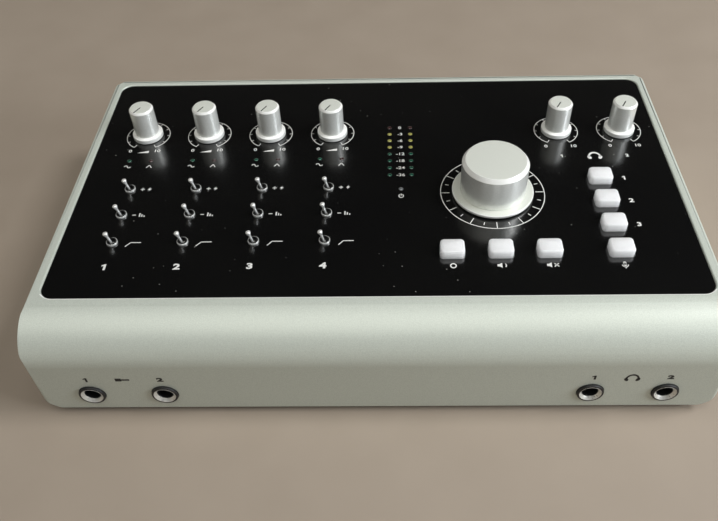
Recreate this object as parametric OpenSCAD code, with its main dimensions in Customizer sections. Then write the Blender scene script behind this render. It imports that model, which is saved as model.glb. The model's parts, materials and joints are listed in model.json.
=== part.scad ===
// Desktop audio interface: silver case, black control panel, knobs, toggles, buttons and sockets.
// Millimetres. X to the right, Y to the back, Z up. The origin is under the middle of the whole
// part, on the table.

/* [Case] */
// Width of the case
case_w = 270; // [264:1:290]
// Depth of the case, front face to rear face
case_d = 168.7; // [164.7:0.1:184.7]
// Height of the case from its lower edge to its rim
body_h = 44.9; // [43.9:0.1:54.9]
// Thickness of the side walls
side_wall = 2.5; // [2:0.1:3.5]
// Thickness of the front wall and of the rounded nose
front_wall = 2.5; // [2:0.1:3.5]
// Thickness of the rear wall
rear_wall = 4; // [3.6:0.1:4.4]
// Radius of the upright rear corners
corner_r = 7.5; // [6:0.5:10]
// Radius of the upright front corners
front_corner_r = 2; // [1:0.1:4]
// Radius of the rounded nose along the top of the front face
nose_r = 16.5; // [12:0.1:20]
// Rounding of the other top edges
edge_r = 1.5; // [0.5:0.1:2]
// Rounding of the lower side edges
bottom_r = 6; // [4:0.1:7]
// Width of the rim beside the panel
side_rim = 4.5; // [4:0.1:6]
// Width of the rim behind the panel
rear_rim = 4.5; // [4.4:0.1:6]
// Distance from the front face to the panel's front edge
nose_depth = 21.2; // [20.5:0.1:24]
// Width of the ledge that carries the panel
ledge_w = 3; // [2:0.1:4]
// Thickness of the ledge that carries the panel
ledge_t = 2; // [1.5:0.1:3]
// Diameter of the screw bosses
boss_d = 7; // [6:0.1:8]
// Height of the screw bosses
boss_h = 20; // [12:1:28]

/* [Control panel] */
// Thickness of the panel
panel_t = 2; // [1.5:0.1:3]
// Depth of the panel's face below the rim
panel_recess = 0.5; // [0.2:0.1:1]
// Radius of the panel's corners
panel_corner_r = 5.5; // [3:0.5:8]
// Gap round the panel
panel_gap = 0.15; // [0.05:0.05:0.3]

/* [Base and feet] */
// Thickness of the base plate
base_t = 1.2; // [1:0.1:2]
// Gap round the base plate
base_gap = 0.3; // [0.1:0.1:0.6]
// Diameter of a foot
foot_d = 14; // [10:1:20]
// Height of a foot
foot_h = 3; // [2.5:0.5:6]
// Distance of the feet from the case's sides, front and rear
foot_inset = 22; // [18:1:30]

/* [Knobs] */
// Distance of the first gain column from the panel's left edge
column_inset = 21.7; // [20:0.1:24]
// Pitch of the gain columns
column_pitch = 29.3; // [26:0.1:30]
// Distance of the last phones knob from the panel's right edge
phones_inset = 16.7; // [16:0.1:20]
// Pitch of the phones knobs
phones_pitch = 29.4; // [24:0.1:30]
// Distance of the small knobs behind the panel's middle
knob_y = 30; // [26:0.1:32]
// Height of a small knob above the panel
knob_h = 16.3; // [13:0.1:20]
// Diameter of a small knob at its top
knob_top_d = 11.5; // [10:0.1:13]
// Diameter of a small knob above its skirt
knob_base_d = 12; // [10.5:0.1:13.5]
// Diameter of a small knob's skirt
knob_skirt_d = 14.3; // [12.5:0.1:16]
// Height of a small knob's skirt
knob_skirt_h = 2; // [1:0.1:3]
// Chamfer round a knob's top
knob_chamfer = 0.8; // [0.4:0.1:1.5]
// Gap between the panel and what turns above it
knob_gap = 0.6; // [0.4:0.1:1]
// Width of the pointer groove
pointer_w = 0.9; // [0.6:0.1:1.5]
// Depth of the pointer groove
pointer_deep = 0.5; // [0.3:0.1:1]
// Angle of the pointer from straight back, clockwise, at the lowest setting
pointer_rest = 210; // [200:1:220]
// Diameter of a spindle
spindle_d = 6; // [5:0.1:6.5]
// Depth of a spindle in its knob
spindle_grip = 10; // [6:0.5:11]

/* [Volume dial] */
// Distance of the dial right of the panel's middle
dial_x = 50.5; // [48:0.1:53]
// Distance of the dial behind the panel's middle
dial_y = -12.9; // [-15:0.1:-11]
// Height of the dial above the panel
dial_h = 18.3; // [14:0.1:22]
// Diameter of the dial above its skirt
dial_base_d = 29.5; // [26:0.1:32]
// Diameter of the dial below its top chamfer
dial_top_d = 28.8; // [25:0.1:32]
// Chamfer round the dial's top
dial_chamfer = 1.5; // [0.5:0.1:2.5]
// Diameter of the skirt disc
skirt_d = 35.5; // [33:0.1:37]
// Thickness of the skirt disc
skirt_t = 1.5; // [1:0.1:2.5]

/* [Toggles] */
// Distance of the last toggle row in front of the panel's middle
toggle_front_y = 41.5; // [38:0.1:43]
// Pitch of the toggle rows
toggle_pitch = 16.5; // [12:0.1:18]
// Height of a lever's tip above the panel
lever_h = 6; // [4.5:0.1:8]
// Diameter of a lever's neck
lever_neck_d = 1.1; // [0.9:0.1:1.3]
// Diameter of a lever's tip
lever_tip_d = 2; // [1.6:0.1:2.6]
// Tilt of a lever to either side
lever_tilt = 13; // [8:1:14]
// Depth of a lever's pivot below the panel's face
pivot_deep = 1.5; // [1:0.1:2]
// Length of a lever below its pivot
lever_tail = 2; // [1.5:0.1:2.5]
// Diameter of a lever's pivot pin
pivot_d = 0.8; // [0.6:0.1:1]
// Bore of a toggle's bush
bush_bore = 3.2; // [3.1:0.1:3.6]
// Wall of a toggle's bush
bush_wall = 0.35; // [0.3:0.05:0.5]
// Height of a bush above the panel
bush_h = 1.1; // [1:0.1:1.5]
// Diameter of a ring nut
nut_d = 4.8; // [4.6:0.1:6]
// Height of a ring nut
nut_h = 0.8; // [0.5:0.1:0.9]

/* [Push buttons] */
// Width of a button
button_w = 9.8; // [8:0.1:11]
// Depth of a button, front to back
button_d = 7.8; // [6:0.1:9]
// Height of a button above the panel
button_h = 3.6; // [2.5:0.1:5]
// Rounding of a button's corners and top edges
button_r = 1.2; // [0.5:0.1:2]
// Travel of a button
button_travel = 1; // [0.5:0.1:1.5]
// Gap round a button
button_gap = 0.3; // [0.2:0.05:0.5]
// Diameter of a button's stem
stem_d = 3; // [2:0.1:4]
// Distance of the front buttons in front of the panel's middle
button_front_y = 48.1; // [44:0.1:52]
// Pitch of the front buttons
button_row_pitch = 19.5; // [14:0.1:21]
// Distance of the side buttons from the panel's right edge
button_inset = 32; // [28:0.1:34]
// Pitch of the side buttons
button_column_pitch = 14.6; // [11:0.1:15]

/* [Lamps] */
// Diameter of a lamp's light pipe
lamp_d = 2; // [1.6:0.1:2.6]
// Height of a lamp above the panel
lamp_proud = 0.3; // [0.1:0.05:0.6]
// Distance of the channel lamps behind the panel's middle
channel_lamp_y = 11.2; // [8:0.1:14]
// Distance between a channel's two lamps
channel_lamp_gap = 10; // [7:0.1:13]
// Distance of the meter's middle right of the panel's middle
meter_x = 10.95; // [9:0.05:13]
// Distance between the meter's two columns
meter_gap = 9.7; // [7:0.1:11]
// Distance of the meter's lowest lamps behind the panel's middle
meter_low_y = -0.6; // [-2:0.1:1]
// Pitch of the meter lamps
meter_pitch = 4.9; // [4:0.1:5.2]
// Distance of the status lamp in front of the panel's middle
status_y = 10; // [8:0.1:14]

/* [Boards] */
// Thickness of the circuit boards
board_t = 1.6; // [1.2:0.1:2]
// Height of the main board above the base plate
main_board_lift = 2; // [1.5:0.1:3]
// Depth of the control board below the panel
control_drop = 9; // [8:0.1:11]
// Gap between a board and what stands round it
board_gap = 0.6; // [0.4:0.1:1.5]
// Diameter of the board posts
post_d = 5; // [4:0.1:6]
// Width of the flat ribbon cable
ribbon_w = 25; // [15:1:35]
// Thickness of the flat ribbon cable
ribbon_t = 1; // [0.8:0.1:1.5]

/* [Jacks] */
// Bore of a jack, for a quarter-inch plug
jack_bore = 6.4; // [6.38:0.01:6.5]
// Outer diameter of a jack's bright ferrule
ferrule_d = 8.8; // [8:0.1:9.4]
// Length of a ferrule
ferrule_l = 6; // [4:0.5:8]
// Diameter of a jack's black collar
collar_d = 10.5; // [10:0.1:11.8]
// Height of a collar in front of the face it stands on
collar_proud = 1.1; // [0.8:0.1:2]
// Height of the jacks above the main board
jack_z = 5.5; // [5.5:0.1:7]
// Width of a jack's housing
jack_w = 12; // [11:0.1:13]
// Length of a jack's housing behind its wall
jack_l = 24; // [20:0.5:28]
// Distance of the outer front jacks from the case's sides
front_jack_inset = 21.6; // [20.6:0.1:25]
// Pitch of the front jacks
front_jack_pitch = 29.2; // [20:0.1:32]
// Pitch of the rear jacks
rear_jack_pitch = 17; // [14.5:0.1:17.5]
// Height of the upper rear jacks above the lower ones
rear_jack_rise = 15; // [13:0.1:16]

/* [Rear] */
// Thickness of the rear panel
rear_t = 1.5; // [1.2:0.1:2]
// Depth of the rear panel's face in the case
rear_recess = 0.5; // [0.2:0.1:0.8]
// Width of the side ledges that carry the rear panel
rear_ledge = 6; // [5.8:0.1:6.6]
// Width of the lips that carry the rear panel above and below
rear_lip = 1.2; // [0.8:0.1:1.5]
// Gap round what passes through a wall
hole_gap = 0.2; // [0.1:0.05:0.4]
// Distance of the first combined socket from the case's left side
combo_inset = 28; // [27.8:0.1:29]
// Distance of the last rear socket from the case's right side
rear_end = 19; // [17:0.5:30]
// Pitch of the combined sockets
combo_pitch = 27.5; // [26:0.1:28]
// Width of a combined socket
combo_w = 25; // [24:0.1:25.8]
// Length of a combined socket behind the rear panel
combo_l = 26; // [22:0.5:30]
// Diameter of a combined socket's round face
combo_face_d = 24; // [22:0.1:24]
// Pitch of the optical sockets
optical_pitch = 13; // [12:0.1:14]
// Outer size of an optical socket
optical_w = 11; // [10:0.1:11.4]
// Opening of an optical socket
optical_open = 8.4; // [8:0.1:9]
// Diameter of the word clock barrel
clock_d = 9.6; // [9:0.1:10.5]
// Height of the word clock barrel behind the case
clock_proud = 9; // [7:0.1:11]
// Diameter of the power button
power_d = 8; // [6:0.1:9]
// Height of the power button behind the case
power_proud = 5; // [4:0.1:7]
// Travel of the power button
power_travel = 3; // [2:0.1:3.5]

/* [Hidden] */
$fn = 64;
// Small overlap that lets a cut pass right through
cut = 1;
// Running clearance of a shaft, pin or stem in its hole
run_gap = 0.05;
// Seat clearance of pieces pressed on each other
seat_gap = 0.02;

// Heights
case_z0 = foot_h;
case_z1 = case_z0 + body_h;
base_top = case_z0 + base_t;
panel_z = case_z1 - panel_recess;
panel_low = panel_z - panel_t;
ledge_low = panel_low - ledge_t;
main_low = base_top + main_board_lift;
main_top = main_low + board_t;
control_top = panel_low - control_drop;
control_low = control_top - board_t;
jack_axis_z = main_top + jack_z;

// Front to back
front_y = -(case_d + collar_proud + clock_proud) / 2 + collar_proud;
rear_y = front_y + case_d;
rear_face_y = rear_y - rear_recess;
rear_in_y = rear_face_y - rear_t;

// Panel
panel_w = case_w - 2 * side_rim;
panel_d = case_d - nose_depth - rear_rim;
panel_y = front_y + nose_depth + panel_d / 2;
panel_left = -panel_w / 2;
panel_right = panel_w / 2;

// Places of the controls
column_xs = [for (i = [0:3]) panel_left + column_inset + i * column_pitch];
phones_xs = [for (i = [1, 0]) panel_right - phones_inset - i * phones_pitch];
knob_cy = panel_y + knob_y;
toggle_ys = [for (j = [2, 1, 0]) panel_y - toggle_front_y + j * toggle_pitch];
toggle_places = [for (y = toggle_ys) for (x = column_xs) [x, y]];
front_button_y = panel_y - button_front_y;
front_buttons = [for (i = [-1, 0, 1]) [dial_x + i * button_row_pitch, front_button_y]];
side_buttons = [for (j = [3, 2, 1, 0])
    [panel_right - button_inset, front_button_y + j * button_column_pitch]];
button_places = concat(front_buttons, side_buttons);
signal_places = [for (x = column_xs) [x - channel_lamp_gap / 2, panel_y + channel_lamp_y]];
peak_places = [for (x = column_xs) [x + channel_lamp_gap / 2, panel_y + channel_lamp_y]];
function meter_places(first, last) = [for (j = [first:last]) for (s = [-1, 1])
    [meter_x + s * meter_gap / 2, panel_y + meter_low_y + j * meter_pitch]];
status_place = [meter_x, panel_y - status_y];

// Lamps by colour: the meter has four green rows, three yellow rows and one red row
green_places = concat(signal_places, meter_places(0, 3));
yellow_places = meter_places(4, 6);
red_places = concat(peak_places, meter_places(7, 7));
lamp_places = concat(green_places, yellow_places, red_places, [status_place]);
lamp_flange = 0.5;
lamp_foot_d = lamp_d + 2 * lamp_flange;
lamp_foot_h = 1.5;

// Spindles, potentiometers and the encoder
spindle_room = 0.5;
spindle_hole = spindle_d + 2 * spindle_room;
pot_w = 11;
pot_h = 6.4;
pot_bush_wall = 0.8;
pot_bush_d = spindle_d + 2 * pot_bush_wall;
pot_floor = 1;
encoder_w = 13;
knob_low = panel_z + knob_gap;
knob_top = panel_z + knob_h;
dial_low = knob_low + skirt_t + seat_gap;
dial_top = panel_z + dial_h;
dial_groove = 0.6;
skirt_taper = 0.3;

// Toggles
bush_room = 1;
pivot_z = panel_z - pivot_deep;
bush_d = bush_bore + 2 * bush_wall;
bush_top = panel_z + bush_h;
bush_floor = pivot_z - lever_tail - bush_room;
toggle_body_w = 5;
toggle_body_d = 7;
toggle_body_top = panel_low - board_gap;
lever_flare = 2.7;

// Push buttons
button_low = panel_low - button_travel / 2;
switch_w = 6;
switch_h = 5;
switch_top = control_top + switch_h;
switch_floor = 0.8;
stem_low = control_top + switch_floor + button_travel + button_gap;

// Inside of the case's front corners
inner_front_r = 1;

// Base plate, and the flange of the case beside it
base_flange = 1.8;
base_w = case_w - 2 * (bottom_r + base_flange);
base_front = front_y + front_wall + base_gap;
base_rear = rear_y - rear_wall - base_gap;
base_corner_r = corner_r - side_wall - base_gap;

// Fasteners
screw_d = 2.4;
screw_head_d = 5.5;
screw_head_h = 1.6;
screw_hole = 3;
screw_l = 8;
boss_rib = 3;
boss_front = 26;
boss_rear = 42;
boss_x = base_w / 2 - boss_d / 2;
boss_ys = [front_y + boss_front, (front_y + rear_y) / 2, rear_y - boss_rear];
boss_places = [for (s = [-1, 1]) for (y = boss_ys) [s * boss_x, y]];

// Boards and posts
main_x = boss_x - boss_d / 2 - board_gap;
main_front = front_y + front_wall + board_gap;
main_rear = rear_y - rear_wall - board_gap;
main_post_x = 68;
main_post_y = 40;
main_posts = [for (x = [-main_post_x, 0, main_post_x]) for (y = [front_y + main_post_y, rear_y - main_post_y])
    [x, y]];
control_x = panel_w / 2 - 2 * ledge_w - board_gap;
control_edge = 10;
control_front = front_button_y - control_edge;
control_rear = knob_cy + control_edge;
column_gap_x = (column_xs[0] + column_xs[1]) / 2;
post_xs = [column_gap_x, column_gap_x + 2 * column_pitch];
front_post_x = (front_buttons[2][0] + side_buttons[0][0]) / 2;
rear_post_x = (phones_xs[0] + phones_xs[1]) / 2;
control_posts = concat(
    [for (x = concat(post_xs, [front_post_x])) [x, control_front + post_d]],
    [for (x = concat(post_xs, [rear_post_x])) [x, control_rear - post_d]]);
post_neck_d = 2.8;
post_head_h = 1.5;
foot_edge = 0.8;

// Ribbon cable's plugs
ribbon_margin = 2;
head_d = 5;
head_h = 6;

// Chips: place right of and behind the board's middle, and width
chips = [[30, 6, 20], [-70, 10, 9], [-45, 10, 9], [-70, 30, 9], [-45, 30, 9], [88, 14, 12]];
chip_h = 1.4;
cap_d = 8;
cap_h = 12;
cap_pitch = 14;
cap_first_x = -30;
cap_y = 22;

// Jacks
housing_h = 2 * jack_z;
bore_room = 0.2;
inner_bore = jack_bore + 2 * bore_room;
front_jack_x = case_w / 2 - front_jack_inset;
front_jack_xs = [-front_jack_x, -front_jack_x + front_jack_pitch,
    front_jack_x - front_jack_pitch, front_jack_x];
jack_floor = 1;

// Rear layout
rear_margin = 0.5;
rear_plate_w = case_w - 2 * (corner_r + rear_margin);
rear_plate_low = base_top + board_gap;
rear_plate_top = ledge_low - 2 * rear_margin;
rear_mid_z = (rear_plate_low + rear_plate_top) / 2;
rear_plate_h = rear_plate_top - rear_plate_low;
rear_corner_r = 2;
// The gaps between the rear sockets close up or open out with the case's width
socket_gap = 2;
combo_gap = combo_pitch - combo_w;
rear_jack_gap = rear_jack_pitch - jack_w;
optical_gap = optical_pitch - optical_w;
rear_gaps = 3 * combo_gap + 3 * rear_jack_gap + optical_gap + 5 * socket_gap;
clock_block = 13;
usb_w = 9;
dc_w = 9;
socket_widths = 4 * combo_w + 4 * jack_w + 2 * optical_w + clock_block + usb_w + dc_w;
rear_drawn_w = combo_inset - combo_w / 2 + socket_widths + rear_gaps + rear_end;
rear_spread = 1 + (case_w - rear_drawn_w) / rear_gaps;
spread_gap = socket_gap * rear_spread;
combo_step = combo_w + combo_gap * rear_spread;
rear_jack_step = jack_w + rear_jack_gap * rear_spread;
optical_step = optical_w + optical_gap * rear_spread;
combo_xs = [for (i = [0:3]) -case_w / 2 + combo_inset + i * combo_step];
combo_z = main_top + combo_w / 2;
combo_groove_in = 16.2;
combo_groove_out = 19.6;
combo_groove_l = 11;
combo_pin_d = 2.4;
combo_pin_r = 5.9;
combo_pin_l = 9;
combo_proud = 0.3;
rear_jack_first = combo_xs[3] + combo_w / 2 + spread_gap + jack_w / 2;
rear_jack_xs = [for (i = [0:3]) rear_jack_first + i * rear_jack_step];
rear_jack_zs = [jack_axis_z, jack_axis_z + rear_jack_rise];
optical_first = rear_jack_xs[3] + jack_w / 2 + spread_gap + optical_w / 2;
optical_xs = [for (i = [0:1]) optical_first + i * optical_step];
optical_rise = optical_w + 3 * hole_gap;
optical_zs = [main_top + optical_w / 2, main_top + optical_w / 2 + optical_rise];
optical_l = 14;
optical_deep = 9;
clock_wall = 0.75;
clock_pin = 3;
clock_pin_deep = 1.5;
lug_d = 2;
lug_h = 0.8;
lug_y = 5;
clock_x = optical_xs[1] + optical_w / 2 + spread_gap + clock_block / 2;
clock_z = main_top + clock_block / 2;
usb_tongue_w = 6.3;
usb_tongue_h = 0.7;
usb_x = clock_x + clock_block / 2 + spread_gap + usb_w / 2;
usb_h = 3.3;
usb_l = 8;
usb_wall = 0.35;
usb_z = main_top + usb_h / 2;
dc_x = usb_x + usb_w / 2 + spread_gap + dc_w / 2;
dc_h = 11;
dc_l = 13;
dc_floor = 2;
dc_bore = 6.2;
dc_pin = 2;
dc_z = main_top + dc_h / 2;
power_x = (usb_x + dc_x) / 2;
power_lift = 22;
power_z = main_top + power_lift;
power_wall = 1.2;
power_collar_d = power_d + 2 * run_gap + 2 * power_wall;
power_flange = 1;
power_body_w = power_collar_d + 2 * power_flange;
power_l = 12;
power_floor = 1;
rear_screw_x = rear_plate_w / 2 - rear_ledge / 2;
rear_screw_z = rear_plate_h / 2 - rear_ledge / 2;
rear_screws = [for (sx = [-1, 1]) for (sz = [-1, 1])
    [sx * rear_screw_x, rear_mid_z + sz * rear_screw_z]];

gain_nodes = [for (i = [1:4]) str("gain_knob_", i)];
phones_nodes = [for (i = [1:2]) str("phones_knob_", i)];
lever_nodes = [for (i = [1:12]) str("toggle_lever_", i)];
button_nodes = [for (i = [1:7]) str("push_button_", i)];

// Rectangle with round corners, centred
module round_rect(w, d, r) {
    square([w, d - 2 * r], center = true);
    square([w - 2 * r, d], center = true);
    for (sx = [-1, 1]) for (sy = [-1, 1])
        translate([sx * (w / 2 - r), sy * (d / 2 - r)]) circle(r);
}

// Box between two corners
module box(low, high) {
    translate(low) cube(high - low);
}

// Upright cylinder from z0 to z1
module post(x, y, z0, z1, d) {
    translate([x, y, z0]) cylinder(d = d, h = z1 - z0);
}

// Cylinder along Y from y0 to y1
module rod_y(x, z, y0, y1, d) {
    translate([x, y0, z]) rotate([-90, 0, 0]) cylinder(d = d, h = y1 - y0);
}

// Plate along Y with an outline drawn in X and Z
module slab_y(x, z, y0, y1) {
    translate([x, y1, z]) rotate([90, 0, 0]) linear_extrude(y1 - y0) children();
}

// Side outline of the case: Y from y0 to y1, Z from z0 to z1, round at the top front and top rear
module side_outline(y0, y1, z0, z1, r_front, r_rear) {
    translate([y0, z0]) square([y1 - y0, z1 - z0 - r_front]);
    translate([y0 + r_front, z0]) square([y1 - y0 - r_front - r_rear, z1 - z0]);
    translate([y0 + r_front, z0]) square([y1 - y0 - r_front, z1 - z0 - r_rear]);
    translate([y0 + r_front, z1 - r_front]) circle(r_front);
    translate([y1 - r_rear, z1 - r_rear]) circle(r_rear);
}

// Outline from v0 to v1, with one radius at its two low corners and another at its two high ones
module two_radii(w, v0, v1, r_low, r_high) {
    translate([-w / 2, v0 + r_low]) square([w, v1 - v0 - r_low - r_high]);
    translate([-w / 2 + r_low, v0]) square([w - 2 * r_low, v1 - v0 - r_high]);
    translate([-w / 2 + r_high, v0 + r_low]) square([w - 2 * r_high, v1 - v0 - r_low]);
    for (s = [-1, 1]) {
        translate([s * (w / 2 - r_low), v0 + r_low]) circle(r_low);
        translate([s * (w / 2 - r_high), v1 - r_high]) circle(r_high);
    }
}

// Block of the case: its side outline along X, its plan upwards and its front outline along Y
module case_block(inset_x, y0, y1, z0, z1, r_nose, r_top, r_bottom, r_front, r_rear) {
    w = case_w - 2 * inset_x;
    intersection() {
        rotate([90, 0, 90]) translate([0, 0, -w / 2]) linear_extrude(w)
            side_outline(y0, y1, z0, z1, r_nose, r_top);
        translate([0, 0, z0]) linear_extrude(z1 - z0) two_radii(w, y0, y1, r_front, r_rear);
        slab_y(0, 0, y0, y1) two_radii(w, z0, z1, r_bottom, r_top);
    }
}

module top_case() {
    rib_x = case_w / 2 - side_wall / 2;
    rib_z = case_z0 + bottom_r;
    color("silver") difference() {
        union() {
            difference() {
                case_block(0, front_y, rear_y, case_z0, case_z1, nose_r, edge_r, bottom_r,
                    front_corner_r, corner_r);
                intersection() {
                    case_block(side_wall, front_y + front_wall, rear_y - rear_wall, case_z0 + side_wall,
                        case_z1 - front_wall, nose_r - front_wall, edge_r, bottom_r - side_wall,
                        inner_front_r, corner_r - side_wall);
                    box([-case_w, front_y, case_z0], [case_w, rear_y, ledge_low]);
                }
                translate([0, (base_front + base_rear) / 2, case_z0 - cut]) linear_extrude(side_wall + 2 * cut)
                    round_rect(base_w + 2 * base_gap, base_rear - base_front + 2 * base_gap,
                        base_corner_r + base_gap);
            }
            for (p = boss_places) {
                post(p[0], p[1], base_top, base_top + boss_h, boss_d);
                box([min(p[0], sign(p[0]) * rib_x), p[1] - boss_rib / 2, rib_z],
                    [max(p[0], sign(p[0]) * rib_x), p[1] + boss_rib / 2, base_top + boss_h]);
            }
        }
        translate([0, panel_y, panel_low]) linear_extrude(panel_t + panel_recess + cut)
            round_rect(panel_w + 2 * panel_gap, panel_d + 2 * panel_gap, panel_corner_r + panel_gap);
        translate([0, panel_y, ledge_low - cut]) linear_extrude(ledge_t + 2 * cut)
            round_rect(panel_w - 2 * ledge_w, panel_d - 2 * ledge_w, panel_corner_r);
        for (x = front_jack_xs)
            rod_y(x, jack_axis_z, front_y - cut, front_y + front_wall + cut, collar_d + 2 * hole_gap);
        slab_y(0, rear_mid_z, rear_in_y, rear_y + cut)
            round_rect(rear_plate_w + 2 * hole_gap, rear_plate_h + 2 * hole_gap, rear_corner_r);
        slab_y(0, rear_mid_z, rear_y - rear_wall - cut, rear_y)
            round_rect(rear_plate_w - 2 * rear_ledge, rear_plate_h - 2 * rear_lip, rear_corner_r);
        for (p = boss_places)
            post(p[0], p[1], base_top - cut, base_top + screw_l + cut, screw_d + 2 * run_gap);
        for (p = rear_screws)
            rod_y(p[0], p[1], rear_y - rear_wall - cut, rear_y, screw_d + 2 * run_gap);
    }
}

module control_panel() {
    color("#0c0c0e") difference() {
        translate([0, panel_y, panel_low]) linear_extrude(panel_t)
            round_rect(panel_w, panel_d, panel_corner_r);
        for (x = concat(column_xs, phones_xs)) post(x, knob_cy, panel_low - cut, panel_z + cut, spindle_hole);
        post(dial_x, panel_y + dial_y, panel_low - cut, panel_z + cut, spindle_hole);
        for (p = toggle_places) post(p[0], p[1], panel_low - cut, panel_z + cut, bush_d + 2 * seat_gap);
        for (p = lamp_places) post(p[0], p[1], panel_low - cut, panel_z + cut, lamp_d + 2 * seat_gap);
        for (p = button_places) translate([p[0], p[1], panel_low - cut]) linear_extrude(panel_t + 2 * cut)
            round_rect(button_w + 2 * button_gap, button_d + 2 * button_gap, button_r + button_gap);
    }
}

module rear_panel() {
    color("#1b1b1d") difference() {
        slab_y(0, rear_mid_z, rear_in_y, rear_face_y) round_rect(rear_plate_w, rear_plate_h, rear_corner_r);
        for (x = combo_xs) rod_y(x, combo_z, rear_in_y - cut, rear_y, combo_face_d + 2 * hole_gap);
        for (x = rear_jack_xs) for (z = rear_jack_zs)
            rod_y(x, z, rear_in_y - cut, rear_y, collar_d + 2 * hole_gap);
        for (x = optical_xs) for (z = optical_zs) slab_y(x, z, rear_in_y - cut, rear_y)
            square(optical_w + 2 * hole_gap, center = true);
        rod_y(clock_x, clock_z, rear_in_y - cut, rear_y, clock_d + 2 * hole_gap);
        slab_y(usb_x, usb_z, rear_in_y - cut, rear_y) stadium(usb_w + 2 * hole_gap, usb_h + 2 * hole_gap);
        slab_y(dc_x, dc_z, rear_in_y - cut, rear_y)
            square([dc_w + 2 * hole_gap, dc_h + 2 * hole_gap], center = true);
        rod_y(power_x, power_z, rear_in_y - cut, rear_y, power_collar_d + 2 * hole_gap);
        for (p = rear_screws) rod_y(p[0], p[1], rear_in_y - cut, rear_y, screw_hole);
    }
}

module base_plate() {
    color("#2a2a2c") difference() {
        translate([0, (base_front + base_rear) / 2, case_z0]) linear_extrude(base_t)
            round_rect(base_w, base_rear - base_front, base_corner_r);
        for (p = boss_places) post(p[0], p[1], case_z0 - cut, base_top + cut, screw_hole);
    }
}

module rubber_feet() {
    color("#161616") for (sx = [-1, 1]) for (y = [front_y + foot_inset, rear_y - foot_inset])
        translate([sx * (case_w / 2 - foot_inset), y, 0]) rotate_extrude()
            polygon([[0, 0], [foot_d / 2 - foot_edge, 0], [foot_d / 2, foot_edge],
                [foot_d / 2, foot_h], [0, foot_h]]);
}

// Pan-head screw with its head below the origin and its shank upwards
module screw(shank) {
    translate([0, 0, -screw_head_h]) cylinder(d = screw_head_d, h = screw_head_h);
    cylinder(d = screw_d, h = shank);
}

module case_screws() {
    color("#8c8c90") {
        for (p = boss_places) translate([p[0], p[1], case_z0]) screw(base_t + screw_l);
        for (p = rear_screws) translate([p[0], rear_face_y, p[1]]) rotate([90, 0, 0])
            screw(rear_wall - rear_recess);
    }
}

module main_board() {
    color("#1f5b3a") difference() {
        box([-main_x, main_front, main_low], [main_x, main_rear, main_top]);
        for (p = main_posts) post(p[0], p[1], main_low - cut, main_top + cut, post_neck_d + 2 * seat_gap);
    }
}

// Post that carries a board: a thick leg, a neck through the board and a head that holds it
module board_post(leg) {
    cylinder(d = post_d, h = leg);
    translate([0, 0, leg]) cylinder(d = post_neck_d, h = board_t);
    translate([0, 0, leg + board_t]) cylinder(d = post_d, h = post_head_h);
}

module board_posts() {
    color("#d8d8d0") for (p = main_posts) translate([p[0], p[1], base_top]) board_post(main_board_lift);
}

module control_board() {
    color("#1f5b3a") difference() {
        box([-control_x, control_front, control_low], [control_x, control_rear, control_top]);
        for (p = control_posts)
            post(p[0], p[1], control_low - cut, control_top + cut, post_neck_d + 2 * seat_gap);
    }
}

module panel_posts() {
    color("#c9a13b") for (p = control_posts)
        translate([p[0], p[1], panel_low]) mirror([0, 0, 1]) board_post(control_drop);
}

// Rotary control on the control board: a square body and a round bush, bored for a spindle
module rotary_body(x, y, w) {
    difference() {
        union() {
            box([x - w / 2, y - w / 2, control_top], [x + w / 2, y + w / 2, control_top + pot_h]);
            post(x, y, control_top + pot_h / 2, panel_low - board_gap, pot_bush_d);
        }
        post(x, y, control_top + pot_floor, panel_z, spindle_d + 2 * run_gap);
    }
}

module potentiometers() {
    color("#4a6b8a") for (x = concat(column_xs, phones_xs)) rotary_body(x, knob_cy, pot_w);
}

module volume_encoder() {
    color("#5a5a5e") rotary_body(dial_x, panel_y + dial_y, encoder_w);
}

module spindle(x, y, top) {
    post(x, y, control_top + pot_floor + run_gap, top, spindle_d);
}

// Small knob on its spindle: a skirt, a slightly tapered body and a pointer groove
module small_knob(x, y) {
    color("#c9ccce") {
        difference() {
            translate([x, y, 0]) rotate_extrude() polygon([
                [0, knob_low],
                [knob_skirt_d / 2, knob_low],
                [knob_skirt_d / 2 - skirt_taper, knob_low + knob_skirt_h],
                [knob_base_d / 2, knob_low + knob_skirt_h],
                [knob_top_d / 2, knob_top - knob_chamfer],
                [knob_top_d / 2 - knob_chamfer, knob_top],
                [0, knob_top]]);
            post(x, y, knob_low - cut, knob_low + spindle_grip + seat_gap, spindle_d + 2 * seat_gap);
            translate([x, y, knob_top - pointer_deep]) rotate(-pointer_rest)
                translate([-pointer_w / 2, 0, 0]) cube([pointer_w, knob_base_d, knob_h]);
        }
        spindle(x, y, knob_low + spindle_grip);
    }
}

module volume_dial() {
    color("#c4c7c9") translate([dial_x, panel_y + dial_y, 0]) difference() {
        rotate_extrude() polygon([
            [0, dial_low],
            [dial_base_d / 2 - dial_groove, dial_low],
            [dial_base_d / 2 - dial_groove, dial_low + dial_groove],
            [dial_base_d / 2, dial_low + dial_groove],
            [dial_top_d / 2, dial_top - dial_chamfer],
            [dial_top_d / 2 - dial_chamfer, dial_top],
            [0, dial_top]]);
        translate([0, 0, dial_low - cut])
            cylinder(d = spindle_d + 2 * seat_gap, h = spindle_grip + seat_gap + cut);
    }
}

module dial_skirt() {
    color("#d6d8d6") translate([dial_x, panel_y + dial_y, knob_low]) difference() {
        cylinder(d = skirt_d, h = skirt_t);
        translate([0, 0, -cut]) cylinder(d = spindle_d + 2 * seat_gap, h = skirt_t + 2 * cut);
    }
}

module volume_spindle() {
    color("#a8a8ac") spindle(dial_x, panel_y + dial_y, dial_low + spindle_grip);
}

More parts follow.
